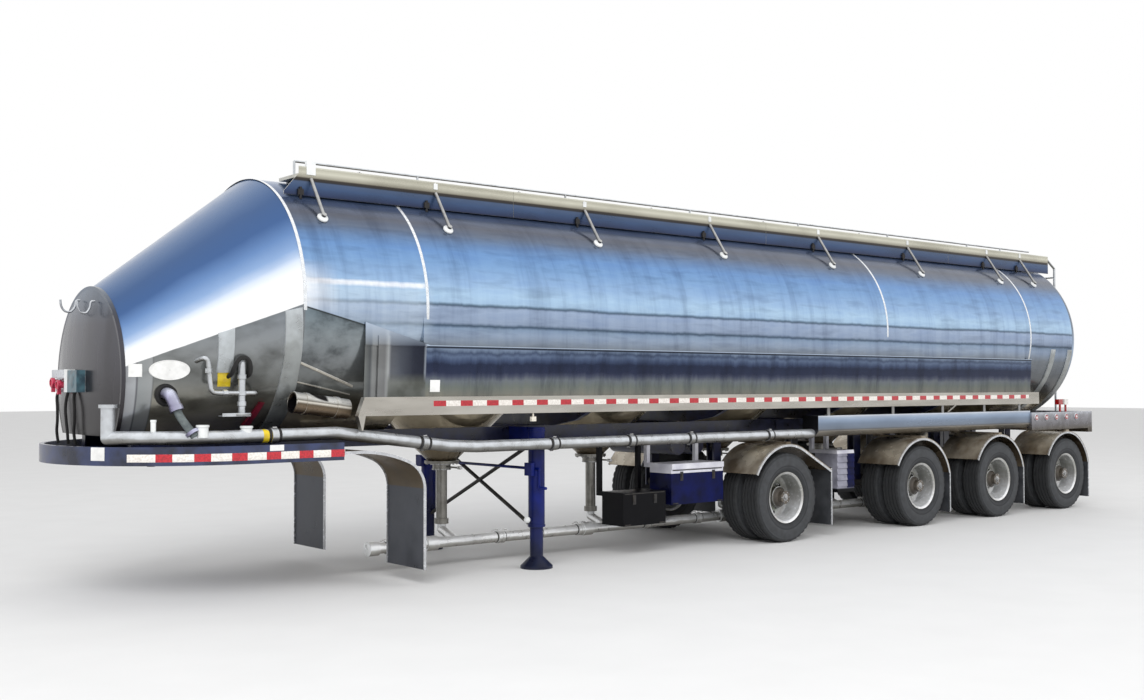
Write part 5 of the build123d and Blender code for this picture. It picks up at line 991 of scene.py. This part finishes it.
# Roof: pads, clamps and posts of the walkway, and the fastenings of the lids
BRACKET_XS = (5.48, 4.115, 2.185, 0.245, -1.745, -3.655, -5.605, -6.505)
PAD_Y = 0.95
PAD_Z = BARREL_AXIS_Z + sqrt(BARREL_RADIUS ** 2 - PAD_Y ** 2)
out = Vector((0, PAD_Y, PAD_Z - BARREL_AXIS_Z)).normalized()
pads, clamps, posts = Form(), Form(), Form()
for i, x in enumerate(BRACKET_XS):
    pads.turned((x, PAD_Y, PAD_Z), out, ((0.046, 0.0005), (0.052, 0.004), (0.052, 0.016), (0.046, 0.023),
        (0.03, 0.027), (0.022, 0.034), (0.022, 0.0005)), 28)
    clamp_x = x + 0.11
    clamps.box((clamp_x - 0.028, clamp_x + 0.028), (0.726, 0.752), (3.598, 3.652))
    clamps.rod((clamp_x, 0.742, 3.56), (clamp_x, 0.742, 3.602), 0.012, 10)
    clamps.rod((clamp_x, 0.742, 3.648), (clamp_x, 0.742, 3.672), 0.014, 6)
    wide, tall = (0.045, 0.12) if i == 0 else (0.022, 0.05)
    posts.box((x - wide, x + wide), (0.7, 0.738), (3.792, 3.8 + tall))
    posts.head((x, 0.719, 3.8 + tall), UP, (0.012, 0.008), (-0.002, 0.012, 0.016), 10)
pads.make("strut_pads", WHITE, slot="bare_steel")
clamps.make("walkway_clamps", DARK, slot="dark_steel")
posts.make("walkway_posts", WHITE)

DOG_CIRCLE = 0.262
LID_TOP_Z = 3.926
GASKET = rubber("gasket_rubber", (34, 34, 36), (58, 57, 56), 30)
for number, x in enumerate(MANHOLE_XS, start=1):
    dogs, seal = Form(), Form()
    for i in range(6):
        turn = radians(30 + 60 * i)
        c, n = cos(turn), sin(turn)
        place = Vector((x + DOG_CIRCLE * c, DOG_CIRCLE * n, LID_TOP_Z))
        corners = [(x + r * c - off * n, r * n + off * c, z) for z in (3.925, 3.936) for r in (0.222, 0.284)
            for off in (-0.018, 0.018)]
        dogs.add(corners, BOX_FACES)
        dogs.head(place, UP, (0.017, 0.013), (0.009, 0.022, 0.026))
        dogs.rod(place, place + Vector((0, 0, 0.04)), 0.007, 8)
        dogs.box((place.x - 0.026, place.x + 0.026), (place.y - 0.004, place.y + 0.004), (3.946, 3.958))
    dogs.tube(((x - 0.085, 0.05, 3.948), (x - 0.08, 0.05, 3.963), (x - 0.06, 0.05, 3.9685), (x, 0.05, 3.969),
        (x + 0.06, 0.05, 3.9685), (x + 0.08, 0.05, 3.963), (x + 0.085, 0.05, 3.948)), 0.0065, 10)
    dogs.make(f"lid_dogs_{number}", NUT, f"lid_{number}", "bare_steel")
    seal.turned((x, 0, 3.9), UP, ((0.262, -0.0005), (0.262, 0.0015), (0.283, 0.0015), (0.283, -0.0005)), 48)
    seal.make(f"lid_seal_{number}", GASKET, f"lid_{number}", "black_rubber")

# The wells under the lids, inside the collars, painted near-black as shade
wells = Form()
for x in MANHOLE_XS:
    wells.turned((x, 0, 3.8), UP, ((0.0001, -0.022), (0.2405, -0.022), (0.2405, 0.03), (0.222, 0.03), (0.216, 0.011),
        (0.0001, 0.0105)), 56, False)
wells.make("manhole_wells", well_look(), slot="dark_steel")

# Underneath: flange bolts, valve stems, pipe couplings and bands
FLANGE_CIRCLE = 0.163
bolts, couplings, rings_dark = Form(), Form(), Form()
for x in HOPPER_XS:
    for turn in turns(12, 0.5):
        place = (x + FLANGE_CIRCLE * cos(turn), FLANGE_CIRCLE * sin(turn), 1.037)
        bolts.head(place, (0, 0, -1), (0.011, 0.008), (-0.001, 0.009, 0.012))
    for z in (1.0295, 0.975):
        bolts.ring((x, 0, z), UP, (0.094, 0.101), (0.006, 0.005), 36)
    couplings.turned((x, 0.355, 1.002), (0, 1, 0), ((0.0001, -0.05), (0.016, -0.05), (0.017, 0), (0.016, 0.012),
        (0.0001, 0.014)), 12, False)
for x in (4.4, 3.05, 2.55, 1.95, 0.95, 0.1, -1, -2.1, -3.1, -4.2):
    couplings.turned((x, PRODUCT_Y, PRODUCT_Z), AHEAD, ((0.054, -0.045), (0.066, -0.043), (0.066, -0.016),
        (0.059, -0.012), (0.059, 0.012), (0.066, 0.016), (0.066, 0.043), (0.054, 0.045)), 32)
    for sign in (-1, 1):
        rings_dark.ring((x + sign * 0.052, PRODUCT_Y, PRODUCT_Z), AHEAD, (0.0548, 0.0585), (0.006, 0.005), 28)
        couplings.tube(((x + sign * 0.02, PRODUCT_Y, 0.318), (x + sign * 0.03, PRODUCT_Y, 0.338),
            (x + sign * 0.075, PRODUCT_Y, 0.332), (x + sign * 0.1, PRODUCT_Y, 0.322)), 0.006, 8, 3)
for x, z in ((6.05, 1.4254), (4.52, 1.3156), (2.963, 1.263), (1.907, 1.263), (1.004, 1.263), (-0.3, 1.263)):
    slope = 0.125 if 4 < x < 5 else 0
    for sign in (-1, 1):
        lift = sign * 0.046 * slope
        rings_dark.ring((x + sign * 0.046, AIR_PIPE_Y, z + lift), (1, 0, slope), (0.0565, 0.062), (0.013, 0.012), 32)
    for turn in (70, 250):
        c, n = cos(radians(turn)), sin(radians(turn))
        bolts.rod((x - 0.02, AIR_PIPE_Y + 0.072 * c, z + 0.072 * n), (x + 0.02, AIR_PIPE_Y + 0.072 * c,
            z + 0.072 * n), 0.009, 8)
bolts.make("flange_bolts", NUT, slot="bare_steel")
couplings.make("pipe_couplings", PRODUCT, slot="pipe_aluminium")
rings_dark.make("pipe_bands", DARK, slot="dark_steel")

# Landing leg: gear case and its bolts, collars, the pale ball on its stub, and a lamp under the rail
case, ball = Form(), Form()
for side in SIDES:
    case.box((3.145, 3.185), (side * 0.96, side * 1.075), (0.94, 1.07))
    for y, z in ((0.975, 0.955), (1.06, 0.955), (0.975, 1.055), (1.06, 1.055)):
        case.head((3.185, side * y, z), AHEAD, (0.008, 0.006), (-0.001, 0.005, 0.007))
    for z in (1.395, 0.43):
        case.ring((3.06, side, z), UP, (0.083, 0.09), (0.014, 0.012), 40)
    case.rod((3.12, side * 1.01, 0.497), (3.2, side * 1.03, 0.497), 0.012, 10)
    ball.turned((3.204, side * 1.03, 0.497), UP, [(max(0.0001, 0.034 * sin(a)), -0.034 * cos(a))
        for a in (pi * i / 10 for i in range(11))], 20, False)
case.make("leg_cases", LEG_BLUE, slot="frame_blue")
ball.make("leg_balls", WHITE, slot="bare_steel")
glow = Form()
for side in SIDES:
    glow.box((3.262, 3.318), (side * 1.226, side * 1.256), (1.498, 1.545))
    glow.box((3.282, 3.298), (side * 1.236, side * 1.246), (1.545, 1.584))
glow.make("rail_lamps", lens("clear_lens", (255, 252, 244), (214, 206, 190)), slot="lamp_red")

# Bezels of the lamps, white centre discs of the side lamps as painted highlights, and box hardware
bezels, highlight_discs, latches = Form(), Form(), Form()
for side in SIDES:
    for x in (-5.98, -6.255, -6.535, -6.82, -7.105):
        bezels.turned((x, side * 1.28, 1.378), (0, side, 0), ((0.0365, 0), (0.0365, 0.012), (0.043, 0.013),
            (0.048, 0.006), (0.048, 0)), 32)
        # a white disc in each side lamp: a painted highlight
        highlight_discs.turned((x, side * 1.294, 1.378), (0, side, 0), ((0.018, -0.001), (0.018, 0.002), (0.014, 0.0035),
            (0.0001, 0.004)), 24, False)
    for y in (0.7, 0.86, 1.02):
        bezels.turned((-7.5845, side * y, 1.3), AHEAD, ((0.054, 0), (0.054, 0.012), (0.0545, 0.013), (0.0545, 0)), 32)
for x0, x1, z0, z1 in ((1.25, 1.88, 0.33, 0.69), (0.33, 1.16, 0.52, 0.915)):
    for x in (x0 + 0.16, x1 - 0.16):
        latches.box((x - 0.022, x + 0.022), (1.0095, 1.016), (z1 - 0.13, z1 - 0.03))
        latches.box((x - 0.012, x + 0.012), (1.016, 1.022), (z1 - 0.105, z1 - 0.055))
    latches.box((x0 + 0.02, x1 - 0.02), (1.0095, 1.013), (z1 - 0.018, z1 - 0.008))
    for x in (x0 + 0.06, x1 - 0.06):
        latches.rod((x - 0.04, 1.0135, z0 + 0.012), (x + 0.04, 1.0135, z0 + 0.012), 0.007, 10)
bezels.make("lamp_bezels", HOOK, slot="bare_steel")
highlight_discs.make("lamp_highlights", PLATE, slot="lamp_red")
latches.make("box_latches", DARK, slot="dark_steel", smooth=20)


# Camera, lamps, floor and background
CAMERA_PLACE = (10.987, 11.151, 1.843)
YAW, PITCH, ROLL = (radians(v) for v in (39.608, 1.659, -0.091))
forward = Vector((-sin(YAW) * cos(PITCH), -cos(YAW) * cos(PITCH), sin(PITCH)))
right = Vector((-cos(YAW), sin(YAW), 0))
up = right.cross(forward)
right, up = right * cos(ROLL) + up * sin(ROLL), up * cos(ROLL) - right * sin(ROLL)
camera = bpy.data.objects.new("camera", bpy.data.cameras.new("camera"))
link(camera)
camera.data.sensor_width = 36
camera.data.lens = 39.63
camera.data.clip_end = 200
turn = Matrix((right, up, -forward)).transposed().to_4x4()
camera.matrix_world = Matrix.Translation(CAMERA_PLACE) @ turn
bpy.context.scene.camera = camera

floor_mesh = bpy.data.meshes.new("floor")
REACH = 90
floor_mesh.from_pydata([(-REACH, -REACH, 0), (REACH, -REACH, 0), (REACH, REACH, 0), (-REACH, REACH, 0)], [],
    [(0, 1, 2, 3)])
floor = bpy.data.objects.new("floor", floor_mesh)
link(floor)
ground = Paint("floor_paint", 0, 0.8)
floor_mesh.materials.append(ground.finish(ground.ramp(ground.noise(1.5, (1, 1, 1), 4), (0.3, 231), (0.7, 234))))

world = bpy.data.worlds.new("world")
bpy.context.scene.world = world
world.use_nodes = True
tree = world.node_tree
paths = tree.nodes.new("ShaderNodeLightPath")
seen = paths.outputs["Is Camera Ray"]
for ray in ("Is Glossy Ray", "Is Transmission Ray"):
    either = tree.nodes.new("ShaderNodeMath")
    either.operation = "MAXIMUM"
    tree.links.new(seen, either.inputs[0])
    tree.links.new(paths.outputs[ray], either.inputs[1])
    seen = either.outputs[0]
level = tree.nodes.new("ShaderNodeMapRange")
tree.links.new(seen, level.inputs[0])
level.inputs[3].default_value = 0.75
level.inputs[4].default_value = 1
tree.links.new(level.outputs[0], tree.nodes["Background"].inputs["Strength"])
tree.nodes["Background"].inputs["Color"].default_value = (1, 1, 1, 1)


def lamp(name, place, aim, size, power):
    made = bpy.data.objects.new(name, bpy.data.lights.new(name, "AREA"))
    link(made)
    made.data.shape = "RECTANGLE"
    made.data.size, made.data.size_y = size
    made.data.energy = power
    made.location = place
    made.visible_glossy = False
    made.rotation_euler = (Vector(aim) - Vector(place)).to_track_quat("-Z", "Y").to_euler()


lamp("key", (16, 14, 16), (0, 0, 2), (14, 10), 2600)
lamp("fill", (-12, 18, 12), (-2, 0, 1), (14, 8), 1200)

bpy.context.scene.view_settings.view_transform = "Standard"
